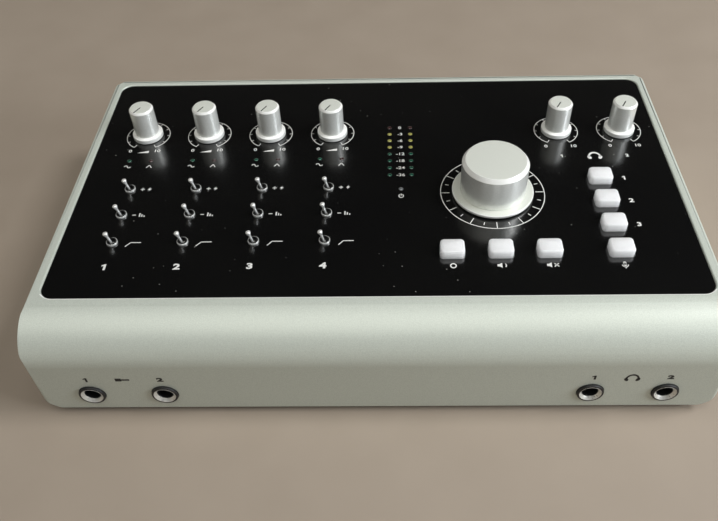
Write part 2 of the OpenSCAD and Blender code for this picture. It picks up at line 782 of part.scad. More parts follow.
module toggle_switches() {
    color("#7d2f2a") for (p = toggle_places) difference() {
        union() {
            box([p[0] - toggle_body_w / 2, p[1] - toggle_body_d / 2, control_top],
                [p[0] + toggle_body_w / 2, p[1] + toggle_body_d / 2, toggle_body_top]);
            post(p[0], p[1], toggle_body_top - cut, bush_top, bush_d);
        }
        post(p[0], p[1], bush_floor, bush_top + cut, bush_bore);
        rod_y(p[0], pivot_z, p[1] - bush_d, p[1] + bush_d, pivot_d + 2 * run_gap);
    }
}

module toggle_nuts() {
    color("#e4e4e6") for (p = toggle_places) translate([p[0], p[1], panel_z]) difference() {
        cylinder(d = nut_d, h = nut_h);
        translate([0, 0, -cut]) cylinder(d = bush_d + 2 * seat_gap, h = nut_h + 2 * cut);
    }
}

// Lever with its pivot pin: a thin neck that flares to a round tip, tilted to the left
module toggle_lever(p) {
    tip_r = lever_tip_d / 2;
    top = lever_h + pivot_deep;
    color("#e6e6e8") translate([p[0], p[1], pivot_z]) {
        rotate([0, -lever_tilt, 0]) {
            rotate_extrude() polygon([
                [0, -lever_tail],
                [lever_neck_d / 2, -lever_tail],
                [lever_neck_d / 2, top - tip_r - lever_flare],
                [tip_r, top - tip_r],
                [0, top - tip_r]]);
            translate([0, 0, top - tip_r]) sphere(tip_r);
        }
        rod_y(0, 0, -bush_d / 2 + run_gap, bush_d / 2 - run_gap, pivot_d);
    }
}

module button_switches() {
    color("#2c2c30") for (p = button_places) difference() {
        box([p[0] - switch_w / 2, p[1] - switch_w / 2, control_top],
            [p[0] + switch_w / 2, p[1] + switch_w / 2, switch_top]);
        post(p[0], p[1], control_top + switch_floor, switch_top + cut, stem_d + 2 * run_gap);
    }
}

// Button cap with round corners and round top edges, on a stem that slides in its switch
module push_button(p) {
    top = panel_z + button_h;
    color("#f0f0ea") {
        intersection() {
            translate([p[0], p[1], button_low]) linear_extrude(top - button_low)
                round_rect(button_w, button_d, button_r);
            slab_y(p[0], 0, p[1] - button_d, p[1] + button_d) cap_outline(button_w, button_low, top);
            translate([p[0], p[1], 0]) rotate([0, 0, 90]) slab_y(0, 0, -button_w, button_w)
                cap_outline(button_d, button_low, top);
        }
        post(p[0], p[1], stem_low, button_low + cut, stem_d);
    }
}

// Outline of a cap seen from one side, round at the top
module cap_outline(w, low, top) {
    translate([-w / 2, low]) square([w, top - low - button_r]);
    translate([-w / 2 + button_r, low]) square([w - 2 * button_r, top - low]);
    for (s = [-1, 1]) translate([s * (w / 2 - button_r), top - button_r]) circle(button_r);
}

// Light pipe: a foot on the control board and a rod up through the panel
module lamp(p) {
    post(p[0], p[1], control_top, control_top + lamp_foot_h, lamp_foot_d);
    post(p[0], p[1], control_top + lamp_foot_h / 2, panel_z + lamp_proud, lamp_d);
}

module green_lamps() {
    color("#3fae4a") for (p = green_places) lamp(p);
}

module yellow_lamps() {
    color("#d9b52c") for (p = yellow_places) lamp(p);
}

module red_lamps() {
    color("#8c1d1a") for (p = red_places) lamp(p);
}

module status_lamp() {
    color("#dfe3e6") lamp(status_place);
}

// Jack housing along +Y from its collar's face at y0: a collar, a block of the given Z range, and bores
module jack_housing(wall_l, z0, z1, axis_zs) {
    difference() {
        union() {
            box([-jack_w / 2, wall_l, z0], [jack_w / 2, wall_l + jack_l, z1]);
            for (z = axis_zs) rod_y(0, z, -collar_proud, wall_l, collar_d);
        }
        for (z = axis_zs) {
            rod_y(0, z, -collar_proud - cut, -collar_proud + ferrule_l, ferrule_d + 2 * seat_gap);
            rod_y(0, z, 0, wall_l + jack_l - jack_floor, inner_bore);
        }
    }
}

// Ferrule along +Y from its front face
module ferrule() {
    difference() {
        rod_y(0, 0, 0, ferrule_l, ferrule_d);
        rod_y(0, 0, -cut, ferrule_l + cut, jack_bore);
    }
}

module front_jacks() {
    color("#141416") for (x = front_jack_xs) translate([x, front_y, 0])
        jack_housing(front_wall, main_top, main_top + housing_h, [jack_axis_z]);
}

module rear_jacks() {
    color("#141416") for (x = rear_jack_xs) translate([x, rear_face_y, 0]) rotate(180)
        jack_housing(rear_t, main_top, rear_jack_zs[1] + jack_z, rear_jack_zs);
}

module jack_ferrules() {
    color("#d8d8da") {
        for (x = front_jack_xs) translate([x, front_y - collar_proud, jack_axis_z]) ferrule();
        for (x = rear_jack_xs) for (z = rear_jack_zs)
            translate([x, rear_face_y + collar_proud, z]) rotate(180) ferrule();
    }
}

// Combined microphone and line socket: a round face with a ring groove, three pin holes and a jack bore
module combo_sockets() {
    face_y = rear_face_y + combo_proud;
    color("#18181a") for (x = combo_xs) difference() {
        union() {
            box([x - combo_w / 2, rear_in_y - combo_l, main_top],
                [x + combo_w / 2, rear_in_y, main_top + combo_w]);
            rod_y(x, combo_z, rear_in_y - cut, face_y, combo_face_d);
        }
        difference() {
            rod_y(x, combo_z, face_y - combo_groove_l, face_y + cut, combo_groove_out);
            rod_y(x, combo_z, face_y - combo_groove_l - cut, face_y + 2 * cut, combo_groove_in);
        }
        rod_y(x, combo_z, rear_in_y - combo_l + jack_floor, face_y + cut, jack_bore);
        for (a = [90, 210, 330])
            rod_y(x + combo_pin_r * cos(a), combo_z + combo_pin_r * sin(a),
                face_y - combo_pin_l, face_y + cut, combo_pin_d);
    }
}

// Optical sockets, one above the other in one block
module optical_sockets() {
    color("#101012") for (x = optical_xs) difference() {
        box([x - optical_w / 2, rear_in_y - optical_l, main_top],
            [x + optical_w / 2, rear_in_y, optical_zs[1] + optical_w / 2]);
        for (z = optical_zs) slab_y(x, z, rear_in_y - optical_deep, rear_y)
            square(optical_open, center = true);
    }
}

module clock_socket() {
    tip_y = rear_y + clock_proud;
    color("#c8c8ca") difference() {
        union() {
            box([clock_x - clock_block / 2, rear_in_y - clock_block, main_top],
                [clock_x + clock_block / 2, rear_in_y, main_top + clock_block]);
            rod_y(clock_x, clock_z, rear_in_y - cut, tip_y, clock_d);
            for (s = [-1, 1]) translate([clock_x, tip_y - lug_y, clock_z]) rotate([0, s * 90, 0])
                cylinder(d = lug_d, h = clock_d / 2 + lug_h);
        }
        difference() {
            rod_y(clock_x, clock_z, rear_y, tip_y + cut, clock_d - 2 * clock_wall);
            rod_y(clock_x, clock_z, rear_y - cut, tip_y - clock_pin_deep, clock_pin);
        }
    }
}

// Rectangle with half-round ends
module stadium(w, h) {
    square([w - h, h], center = true);
    for (s = [-1, 1]) translate([s * (w - h) / 2, 0]) circle(h / 2);
}

module usb_socket() {
    color("#b4b4b8") difference() {
        slab_y(usb_x, usb_z, rear_face_y - usb_l, rear_face_y) stadium(usb_w, usb_h);
        difference() {
            slab_y(usb_x, usb_z, rear_face_y - usb_l + cut, rear_y)
                stadium(usb_w - 2 * usb_wall, usb_h - 2 * usb_wall);
            slab_y(usb_x, usb_z, rear_face_y - usb_l, rear_face_y - cut)
                square([usb_tongue_w, usb_tongue_h], center = true);
        }
    }
}

module dc_inlet() {
    color("#161618") difference() {
        box([dc_x - dc_w / 2, rear_face_y - dc_l, main_top], [dc_x + dc_w / 2, rear_face_y, main_top + dc_h]);
        difference() {
            rod_y(dc_x, dc_z, rear_face_y - dc_l + dc_floor, rear_y, dc_bore);
            rod_y(dc_x, dc_z, rear_face_y - dc_l, rear_face_y - cut, dc_pin);
        }
    }
}

module power_switch() {
    half = power_body_w / 2;
    color("#1a1a1c") difference() {
        union() {
            box([power_x - half, rear_in_y - power_l, power_z - half],
                [power_x + half, rear_in_y, power_z + half]);
            rod_y(power_x, power_z, rear_in_y - cut, rear_y, power_collar_d);
        }
        rod_y(power_x, power_z, rear_in_y - power_l + power_floor, rear_y + cut, power_d + 2 * run_gap);
    }
}

module power_button() {
    inner_y = rear_in_y - power_l + power_floor + power_travel + hole_gap;
    color("#303034") rod_y(power_x, power_z, inner_y, rear_y + power_proud, power_d);
}

module ribbon_cable() {
    head_w = ribbon_w + 2 * ribbon_margin;
    y = panel_y + dial_y;
    color("#b9b9bd") {
        box([-head_w / 2, y - head_d / 2, main_top], [head_w / 2, y + head_d / 2, main_top + head_h]);
        box([-head_w / 2, y - head_d / 2, control_low - head_h], [head_w / 2, y + head_d / 2, control_low]);
        box([-ribbon_w / 2, y - ribbon_t / 2, main_top + head_h],
            [ribbon_w / 2, y + ribbon_t / 2, control_low - head_h]);
    }
}

// Chips on the main board: centre relative to the board's middle, width and height
module board_chips() {
    mid_y = (main_front + main_rear) / 2;
    color("#1c1c1e") for (c = chips) translate([c[0], mid_y + c[1], main_top])
        translate([-c[2] / 2, -c[2] / 2, 0]) cube([c[2], c[2], chip_h]);
}

module capacitors() {
    color("#24324a") for (i = [0:5]) translate([cap_first_x + i * cap_pitch, main_front + cap_y, main_top]) {
        cylinder(d = cap_d, h = cap_h);
    }
}

top_case();
control_panel();
rear_panel();
base_plate();
rubber_feet();
case_screws();
main_board();
board_posts();
control_board();
panel_posts();
potentiometers();
volume_encoder();
toggle_switches();
toggle_nuts();
button_switches();
green_lamps();
yellow_lamps();
red_lamps();
status_lamp();
front_jacks();
rear_jacks();
jack_ferrules();
combo_sockets();
optical_sockets();
clock_socket();
usb_socket();
dc_inlet();
power_switch();
power_button();
ribbon_cable();
board_chips();
capacitors();
volume_dial();
dial_skirt();
volume_spindle();
for (i = [0:3]) small_knob(column_xs[i], knob_cy);
for (i = [0:1]) small_knob(phones_xs[i], knob_cy);
for (i = [0:11]) toggle_lever(toggle_places[i]);
for (i = [0:6]) push_button(button_places[i]);
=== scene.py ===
"""Desktop audio interface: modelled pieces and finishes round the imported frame. Sizes are in millimetres."""
import json
import math

import bmesh
import bpy
from mathutils import Matrix, Vector


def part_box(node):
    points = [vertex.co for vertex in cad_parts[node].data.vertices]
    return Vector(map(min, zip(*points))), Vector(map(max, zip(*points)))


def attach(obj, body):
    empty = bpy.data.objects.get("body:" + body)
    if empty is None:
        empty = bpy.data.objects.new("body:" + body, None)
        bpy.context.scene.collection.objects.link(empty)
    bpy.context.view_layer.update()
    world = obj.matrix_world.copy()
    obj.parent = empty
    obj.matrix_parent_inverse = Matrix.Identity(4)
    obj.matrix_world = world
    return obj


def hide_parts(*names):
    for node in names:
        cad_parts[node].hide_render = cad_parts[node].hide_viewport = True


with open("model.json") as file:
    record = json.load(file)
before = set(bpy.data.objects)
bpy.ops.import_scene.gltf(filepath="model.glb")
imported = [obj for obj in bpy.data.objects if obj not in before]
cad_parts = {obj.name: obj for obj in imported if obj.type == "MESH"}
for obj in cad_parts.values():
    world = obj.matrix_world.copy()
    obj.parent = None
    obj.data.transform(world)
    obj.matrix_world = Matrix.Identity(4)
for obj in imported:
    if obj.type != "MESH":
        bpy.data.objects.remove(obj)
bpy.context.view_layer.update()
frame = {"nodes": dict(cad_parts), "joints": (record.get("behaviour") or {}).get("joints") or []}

MM = 0.001
MERGE_GAP = 0.002
TOUCH = 0.01
# Height of a face's normal: below the first a face is upright, above the others it is level or quite flat
UPRIGHT = 0.05
LEVEL = 0.99
FLAT = 0.999
JOINTS = {joint["name"]: joint for joint in frame["joints"]}


def box_of(node):
    """Lowest and highest corner of a node, in millimetres."""
    low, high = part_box(node)
    return low / MM, high / MM


def middle_of(node):
    """Middle of a node's box, in millimetres."""
    low, high = box_of(node)
    return (low + high) / 2


def joint_place(name):
    """Where a turning joint's axis passes, in millimetres."""
    return Vector(JOINTS[name]["pos_m"]) / MM


# Case
CASE_LOW, CASE_HIGH = box_of("top_case")
BASE_LOW, BASE_HIGH = box_of("base_plate")
FRONT_CORNER_R = 2.0
CORNER_R = 7.5
NOSE_DEPTH = 20.2
NOSE_DROP = 17.5
NOSE_STEPS = 28
CORNER_STEPS = 12
BOTTOM_R = 9.5
EDGE_R = 1.5
UNDER_R = 0.8
LIP_R = 0.7
LIP_SEGMENTS = 4
SIDE_WALL = 2.5
REAR_WALL = 4.0
INNER_FRONT_R = 1.0
BASE_CORNER_R = 4.7
BASE_GAP = 0.3
LEDGE_W = 3.0
LEDGE_T = 2.0
# How far a tool reaches past what it cuts
CUT = 1.0

# Control panel
PANEL_LOW, PANEL_HIGH = box_of("control_panel")
PANEL_SIZE = PANEL_HIGH - PANEL_LOW
PANEL_MIDDLE = (PANEL_LOW + PANEL_HIGH) / 2
PANEL_MIDDLE.z = PANEL_HIGH.z
PANEL_CORNER_R = 5.5
PANEL_GAP = 0.15

# Rear plate
REAR_LOW, REAR_HIGH = box_of("rear_panel")
REAR_MIDDLE = (REAR_LOW + REAR_HIGH) / 2
REAR_LEDGE = 6.0
REAR_LIP = 1.2
REAR_CORNER_R = 2.0
HOLE_GAP = 0.2

# Controls
COLUMNS = [joint_place(f"gain_{i}_turn").x for i in range(1, 5)]
PHONES = [joint_place(f"phones_{i}_turn").x for i in range(1, 3)]
KNOB_Y = joint_place("gain_1_turn").y
DIAL = joint_place("volume_turn")
TOGGLES = [joint_place(f"toggle_{i}_tip") for i in range(1, 13)]
BUTTONS = [middle_of(f"push_button_{i}") for i in range(1, 8)]

# Jacks and sockets
FERRULE_R = 4.4
FERRULE_L = 6.0
FERRULE_GAP = 0.02
BORE_R = 3.2
MOUTH_R = 4.3
MOUTH_FLOOR = -0.1
COLLAR_R = 5.25
COLLAR_PROUD = 1.1
HOUSING_W = 12.0
HOUSING_EDGE = 0.4
HOUSING_BORE = (6.8, 6.8, 46.0)
JACK_Z = 13.3
FRONT_JACKS = [(side * x, JACK_Z) for x in (113.4, 84.2) for side in (-1, 1)]
REAR_JACK_XS = [-4.0 + 17.0 * i for i in range(4)]
REAR_JACK_ZS = (JACK_Z, 28.3)
COMBO_XS = [-107.0 + 27.5 * i for i in range(4)]


# Modelling by hand: start from a primitive, shape it in edit mode, then settle it

def deselect():
    """Leaves edit mode and selects nothing."""
    if bpy.context.mode != "OBJECT":
        bpy.ops.object.mode_set(mode="OBJECT")
    bpy.ops.object.select_all(action="DESELECT")


def hold(piece, mode="OBJECT"):
    """Makes one piece the only selected one."""
    deselect()
    piece.select_set(True)
    bpy.context.view_layer.objects.active = piece
    bpy.ops.object.mode_set(mode=mode)


def start(kind, span, place=(0, 0, 0), **settings):
    """A primitive of a span at a place, both kept in its mesh, in edit mode with everything selected."""
    deselect()
    getattr(bpy.ops.mesh, f"primitive_{kind}_add")(location=Vector(place) * MM, **settings)
    piece = bpy.context.object
    piece.scale = Vector(span) * MM
    bpy.ops.object.transform_apply(location=True, rotation=True, scale=True)
    bpy.ops.object.mode_set(mode="EDIT")
    bpy.ops.mesh.select_mode(type="VERT")
    bpy.ops.mesh.select_all(action="SELECT")
    return piece


def choose(piece, kind, wanted):
    """Selects the vertices, edges or faces that wanted() accepts."""
    bpy.ops.mesh.select_mode(type=kind)
    bpy.ops.mesh.select_all(action="DESELECT")
    shape = bmesh.from_edit_mesh(piece.data)
    for part in {"VERT": shape.verts, "EDGE": shape.edges, "FACE": shape.faces}[kind]:
        part.select_set(bool(wanted(part)))
    shape.select_flush_mode()
    bmesh.update_edit_mesh(piece.data)


def pull(x=0.0, y=0.0, z=0.0):
    """Extrudes what is selected by a step."""
    bpy.ops.mesh.extrude_region_move(TRANSFORM_OT_translate={"value": (x * MM, y * MM, z * MM)})


def close(piece):
    """Merges doubles, turns the faces outwards and leaves edit mode."""
    bpy.ops.mesh.select_all(action="SELECT")
    bpy.ops.mesh.remove_doubles(threshold=MERGE_GAP * MM)
    bpy.ops.mesh.normals_make_consistent(inside=False)
    bpy.ops.object.mode_set(mode="OBJECT")
    return piece


def draw(points):
    """A chain of edges through the points: one vertex, extruded from each point to the next."""
    piece = start("plane", (1, 1, 1), size=1)
    bpy.ops.mesh.merge(type="CENTER")
    bpy.ops.transform.translate(value=Vector(points[0]) * MM)
    for here, there in zip(points, points[1:]):
        pull(*(Vector(there) - Vector(here)))
    bpy.ops.mesh.select_all(action="SELECT")
    return piece


def soften(outline, steps=5):
    """The outline's points, with an arc at each corner that has a radius as its third number."""
    points = []
    for i, corner in enumerate(outline):
        here = Vector(corner[:2])
        if len(corner) == 2:
            points.append(here)
            continue
        before = (Vector(outline[i - 1][:2]) - here).normalized()
        after = (Vector(outline[(i + 1) % len(outline)][:2]) - here).normalized()
        half = before.angle(after) / 2
        middle = here + (before + after).normalized() * corner[2] / math.sin(half)
        reach = corner[2] / math.tan(half)
        first, last = here + before * reach - middle, here + after * reach - middle
        points += [middle + first.lerp(last, k / steps).normalized() * corner[2] for k in range(steps + 1)]
    return points


def turn(outline, steps=64):
    """A turned piece round the upright axis, from its outline of radius and height."""
    piece = draw([(p[0], 0, p[1]) for p in soften(outline)])
    bpy.ops.mesh.spin(steps=steps, angle=2 * math.pi, center=(0, 0, 0), axis=(0, 0, 1))
    close(piece)
    # Grows along the outline, so that a lathe's rings can follow it
    mark = piece.data.attributes.new("turning", "FLOAT", "POINT")
    for vertex, value in zip(piece.data.vertices, mark.data):
        value.value = (vertex.co.xy.length - vertex.co.z) / MM
    return piece


def extruded(outline, depth, steps=10):
    """An upright piece from level nought, with an outline whose corners may be round."""
    shape = draw([(x, y, 0) for x, y in soften(outline, steps)])
    bpy.ops.mesh.edge_face_add()
    pull(z=depth)
    return close(shape)


def rounded_slab(size, place, radius):
    """An upright slab with round corners, from its lowest level."""
    x, y = size[0] / 2, size[1] / 2
    corners = [(-x, -y, radius), (x, -y, radius), (x, y, radius), (-x, y, radius)]
    return move(extruded(corners, size[2]), Matrix.Translation(place))


def move(piece, matrix):
    """Moves a piece's mesh, with the matrix's shift in millimetres."""
    shift = Matrix.Translation(matrix.translation * MM)
    piece.data.transform(shift @ matrix.to_3x3().to_4x4())
    return piece


def copy(piece, place):
    """A copy with its own mesh, shifted to a place."""
    made = piece.copy()
    made.data = piece.data.copy()
    bpy.context.scene.collection.objects.link(made)
    return move(made, Matrix.Translation(place))


def row(piece, places):
    """One piece made of a copy at each place."""
    made = [copy(piece, place) for place in places]
    bpy.data.objects.remove(piece)
    return join(made)


def laid(piece, matrices):
    """A copy of a piece at each place, in place of the piece."""
    made = [move(copy(piece, (0, 0, 0)), matrix) for matrix in matrices]
    bpy.data.objects.remove(piece)
    return made


def join(pieces):
    """Joins pieces into the first one."""
    deselect()
    for piece in pieces:
        piece.select_set(True)
    bpy.context.view_layer.objects.active = pieces[0]
    bpy.ops.object.join()
    return pieces[0]


def cut(piece, tool, operation="DIFFERENCE"):
    """Cuts a tool's shape out of a piece, and removes the tool."""
    hold(piece)
    step = piece.modifiers.new("cut", "BOOLEAN")
    step.operation = operation
    step.object = tool
    step.solver = "EXACT"
    bpy.ops.object.modifier_apply(modifier=step.name)
    bpy.data.objects.remove(tool)
    return piece


def settle(piece, name, finishes, body="chassis", nodes=(), crease=35.0, weighted=False):
    """Names and smooths a piece, and gives it its finishes, its body and the nodes it stands for."""
    hold(piece)
    bpy.ops.object.shade_smooth_by_angle(angle=math.radians(crease))
    if weighted:
        step = piece.modifiers.new("weighted", "WEIGHTED_NORMAL")
        step.keep_sharp = True
        bpy.ops.object.modifier_apply(modifier=step.name)
    piece.name = name
    piece.data.name = name
    marks = [polygon.material_index for polygon in piece.data.polygons]
    piece.data.materials.clear()
    for used in finishes if isinstance(finishes, list) else [finishes]:
        piece.data.materials.append(used)
    piece.data.polygons.foreach_set("material_index", marks)
    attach(piece, body)
    if nodes:
        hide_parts(*nodes)
    return piece


# Turn an upright piece to the front or to the rear
FRONTWARD = Matrix.Rotation(math.radians(90), 4, "X")
BACKWARD = Matrix.Rotation(math.radians(-90), 4, "X")
# Lays an upright piece along X, with its outline facing that way
SIDEWARD = Matrix(((0, 0, 1, 0), (1, 0, 0, 0), (0, 1, 0, 0), (0, 0, 0, 1)))


# Finishes

# The part of a noise's range that a grain spans
GRAIN_RANGE = {"From Min": 0.3, "From Max": 0.7}
SPECK_GAP = 5.0
SPECK_RANGE = {"From Min": 0.025, "From Max": 0.05, "To Min": 1.0, "To Max": 0.0}
DUST_PATCH = 45.0
DUST_RANGE = {"From Min": 0.44, "From Max": 0.58}
LATHE_PITCH = 0.25
LATHE_HEIGHT = 0.002


def linear(colour):
    """A colour written as sRGB hex, as linear light."""
    channels = [int(colour[i:i + 2], 16) / 255 for i in (1, 3, 5)]
    return [c / 12.92 if c <= 0.04045 else ((c + 0.055) / 1.055) ** 2.4 for c in channels] + [1.0]


def add(tree, kind, sockets=None, **settings):
    """Adds a node with its settings. A socket takes a plain value or another node's output."""
    made = tree.nodes.new("ShaderNode" + kind)
    for name, value in settings.items():
        setattr(made, name, value)
    for name, source in (sockets or {}).items():
        if isinstance(source, bpy.types.NodeSocket):
            tree.links.new(source, made.inputs[name])
        else:
            made.inputs[name].default_value = source
    return made


def finish(name, colours, roughness, grain, height, **sockets):
    """A material whose colour, roughness and height follow one grain; sockets are the same all over."""
    made = bpy.data.materials.new(name)
    made.use_nodes = True
    tree = made.node_tree
    shader = tree.nodes["Principled BSDF"]
    for socket, value in sockets.items():
        shader.inputs[socket.replace("_", " ")].default_value = value
    place = add(tree, "TexCoord").outputs["Object"]
    noise = add(tree, "TexNoise", {"Vector": place, "Scale": 1 / (grain * MM), "Detail": 3.0})
    share = add(tree, "MapRange", {"Value": noise.outputs[0], **GRAIN_RANGE}).outputs[0]
    blend = add(tree, "Mix", {0: share, 6: linear(colours[0]), 7: linear(colours[1])}, data_type="RGBA")
    rough = add(tree, "MapRange", {"Value": share, "To Min": roughness[0], "To Max": roughness[1]})
    bump = add(tree, "Bump", {"Height": share, "Distance": height * MM, "Strength": 1.0})
    tree.links.new(blend.outputs[2], shader.inputs["Base Color"])
    tree.links.new(rough.outputs[0], shader.inputs["Roughness"])
    tree.links.new(bump.outputs[0], shader.inputs["Normal"])
    return made


def gloss_black_acrylic():
    """Gloss black acrylic: deep black with slightly soft reflections, and dust that shows as pale specks."""
    made = finish("gloss black acrylic", ("#080808", "#0A0A09"), (0.26, 0.3), 40.0, 0.0, IOR=1.49,
                  Specular_IOR_Level=0.15, Coat_Weight=1.0, Coat_Roughness=0.17, Coat_IOR=1.75)
    tree = made.node_tree
    shader = tree.nodes["Principled BSDF"]
    clean = shader.inputs["Base Color"].links[0].from_socket
    place = add(tree, "TexCoord").outputs["Object"]
    # Specks are drawn about a gap apart, and only in the dusty patches
    specks = add(tree, "TexVoronoi", {"Vector": place, "Scale": 1 / (SPECK_GAP * MM), "Randomness": 1.0})
    near = add(tree, "MapRange", {"Value": specks.outputs["Distance"], **SPECK_RANGE})
    patches = add(tree, "TexNoise", {"Vector": place, "Scale": 1 / (DUST_PATCH * MM), "Detail": 2.0})
    dusty = add(tree, "MapRange", {"Value": patches.outputs[0], **DUST_RANGE})
    dust = add(tree, "Math", {0: near.outputs[0], 1: dusty.outputs[0]}, operation="MULTIPLY")
    shown = add(tree, "Mix", {0: dust.outputs[0], 6: clean, 7: linear("#A8A8A2")}, data_type="RGBA")
    tree.links.new(shown.outputs[2], shader.inputs["Base Color"])
    return made


def turned_aluminium():
    """Satin anodised aluminium, turned on a lathe: pale, with fine rings that run round each piece."""
    made = finish("satin turned aluminium", ("#F0F2EC", "#F8FAF5"), (0.36, 0.44), 0.6, 0.0, Metallic=0.4,
                  Coat_Weight=0.8, Coat_Roughness=0.18, Coat_IOR=1.6)
    tree = made.node_tree
    shader = tree.nodes["Principled BSDF"]
    ring = add(tree, "Attribute", attribute_name="turning")
    # The lathe's rings are finer than this pitch, which is drawn coarse so that they show
    turns = 2 * math.pi / LATHE_PITCH
    wave = add(tree, "Math", {0: ring.outputs["Fac"], 1: turns}, operation="MULTIPLY")
    rings = add(tree, "Math", {0: wave.outputs[0]}, operation="SINE")
    bump = add(tree, "Bump", {"Height": rings.outputs[0], "Distance": LATHE_HEIGHT * MM, "Strength": 1.0})
    tree.links.new(bump.outputs[0], shader.inputs["Normal"])
    return made


def ribbed(made, pitch, axis, height):
    """Adds ribs of a pitch along an axis, such as a ribbon cable's wires."""
    tree = made.node_tree
    shader = tree.nodes["Principled BSDF"]
    place = add(tree, "TexCoord").outputs["Object"]
    # At a scale of 1 the bands of a wave lie pi / 10 apart
    scale = math.pi / (10 * pitch * MM)
    wave = add(tree, "TexWave", {"Vector": place, "Scale": scale}, bands_direction=axis)
    bump = add(tree, "Bump", {"Height": wave.outputs["Fac"], "Distance": height * MM, "Strength": 1.0})
    tree.links.new(bump.outputs[0], shader.inputs["Normal"])
    return made


# Sprayed metal flake in a satin lacquer: pale, broad highlights and a fine sparkle
silver = finish("satin silver metallic paint", ("#BFC5BA", "#D1D7CC"), (0.4, 0.5), 0.35, 0.006,
                Metallic=0.2)
acrylic = gloss_black_acrylic()
aluminium = turned_aluminium()
# Anodised over a fine bead blast: pale and nearly even, with a soft bloom of light on its edges
blasted = finish("bead-blasted anodised aluminium", ("#E0E3D9", "#E8EBE1"), (0.42, 0.5), 0.3, 0.002,
                 Metallic=0.25)
# Edges cut bright and given a painted highlight: paler than the faces beside them, as light caught on the lip,
# the chamfers and the skirts
bright_cut_and_highlight = finish("bright-cut aluminium with painted highlight", ("#F9FAF5", "#FEFFFA"), (0.3, 0.38), 0.3, 0.001, Metallic=0.05,
                  Coat_Weight=0.8, Coat_Roughness=0.3, Coat_IOR=1.7)
# Electroplated over a fine blast: bright, with blurred reflections
chrome = finish("satin chrome plate", ("#EDEEEA", "#F6F7F3"), (0.24, 0.32), 1.5, 0.002, Metallic=0.45)
nickel = finish("nickel plate", ("#D6D5CE", "#E4E3DC"), (0.26, 0.36), 1.2, 0.003, Metallic=0.45)
# Moulded polycarbonate: white and glossy, with light that spreads inside it, and a faint painted glow that
# lightens its shaded sides
polycarbonate = finish("white polycarbonate", ("#F0F2F1", "#F6F8F7"), (0.34, 0.4), 2.5, 0.0005, IOR=1.58,
                       Subsurface_Weight=1.0, Subsurface_Radius=(1.0, 1.0, 1.0), Subsurface_Scale=0.009,
                       Emission_Strength=0.06)
# Moulded ABS with a spark-eroded grain: black with a broken sheen
abs_black = finish("black moulded ABS", ("#0C0C0D", "#161617"), (0.38, 0.52), 0.5, 0.012, IOR=1.53)
# Matt and black: brushed into a groove, sprayed as powder, or moulded in rubber
groove_paint = finish("black groove paint", ("#0E0E0E", "#1A1A19"), (0.55, 0.7), 0.3, 0.004)
powder_black = finish("black powder coat", ("#111112", "#1B1B1C"), (0.48, 0.62), 0.45, 0.02)
rubber = finish("black rubber", ("#121212", "#1C1C1B"), (0.7, 0.85), 0.6, 0.02)
# Bright plated steel and turned brass, and the satin boards and plastics inside
zinc = finish("zinc-plated steel", ("#8E9092", "#A9ABAD"), (0.25, 0.4), 0.8, 0.004, Metallic=1.0)
solder_mask = finish("green solder mask on glass epoxy", ("#124A2C", "#1C6A40"), (0.3, 0.42), 3.0, 0.02)
nylon = finish("natural nylon", ("#D3D2C6", "#E0DFD4"), (0.4, 0.5), 0.9, 0.006)
brass = finish("turned brass", ("#B08A3A", "#C8A24C"), (0.22, 0.34), 0.7, 0.004, Metallic=1.0)
pot_plastic = finish("blue thermoset plastic", ("#35577A", "#42678D"), (0.4, 0.5), 0.8, 0.008)
epoxy = finish("black epoxy moulding", ("#161617", "#222223"), (0.5, 0.62), 0.25, 0.01)
sleeve = finish("shrunk vinyl sleeve", ("#1B2942", "#263756"), (0.28, 0.38), 1.5, 0.004)
ribbon = ribbed(finish("grey vinyl ribbon", ("#A4A4A8", "#B4B4B8"), (0.4, 0.5), 1.0, 0.0), 1.27, "X", 0.2)
# Screen-printed inks, matt against the gloss below them
white_ink = finish("white screen ink", ("#D9D9D4", "#ECECE8"), (0.5, 0.62), 0.4, 0.002)
dark_ink = finish("dark screen ink", ("#0E0E0D", "#191918"), (0.5, 0.62), 0.4, 0.002)
# Cast epoxy lenses, dark while unlit
LENS = {"IOR": 1.54, "Coat_Weight": 1.0, "Coat_Roughness": 0.2}
green_lens = finish("green cast lens", ("#07382A", "#0E5641"), (0.12, 0.22), 0.5, 0.004, **LENS)
yellow_lens = finish("yellow cast lens", ("#8C8842", "#A6A256"), (0.12, 0.22), 0.5, 0.004, **LENS)
red_lens = finish("red cast lens", ("#22090A", "#340D0F"), (0.12, 0.22), 0.5, 0.004, **LENS)
clear_lens = finish("water-clear cast lens", ("#5A5E60", "#74787A"), (0.12, 0.22), 0.5, 0.004, **LENS)


# Case

def case_block(low, high, wall, top_r, bottom_r, front_r, rear_r):
    """A block with the case's outline from the side, kept to its plan and to its outline from the front."""
    size = high - low
    depth, drop = NOSE_DEPTH - wall, NOSE_DROP - wall
    angles = [math.radians(90 + 90 * k / NOSE_STEPS) for k in range(NOSE_STEPS + 1)]
    nose = [(low.y + depth * (1 + math.cos(a)), high.z - drop * (1 - math.sin(a))) for a in angles]
    side = extruded([(low.y, low.z, UNDER_R), (high.y, low.z), (high.y, high.z, top_r)] + nose, size.x)
    move(side, Matrix.Translation((low.x, 0, 0)) @ SIDEWARD)
    plan = extruded([(low.x, low.y, front_r), (high.x, low.y, front_r), (high.x, high.y, rear_r),
                     (low.x, high.y, rear_r)], size.z, CORNER_STEPS)
    front = extruded([(low.x, low.z, bottom_r), (high.x, low.z, bottom_r), (high.x, high.z, top_r),
                      (low.x, high.z, top_r)], size.y, CORNER_STEPS)
    cut(side, move(plan, Matrix.Translation((0, 0, low.z))), "INTERSECT")
    return cut(side, move(front, Matrix.Translation((0, high.y, 0)) @ FRONTWARD), "INTERSECT")


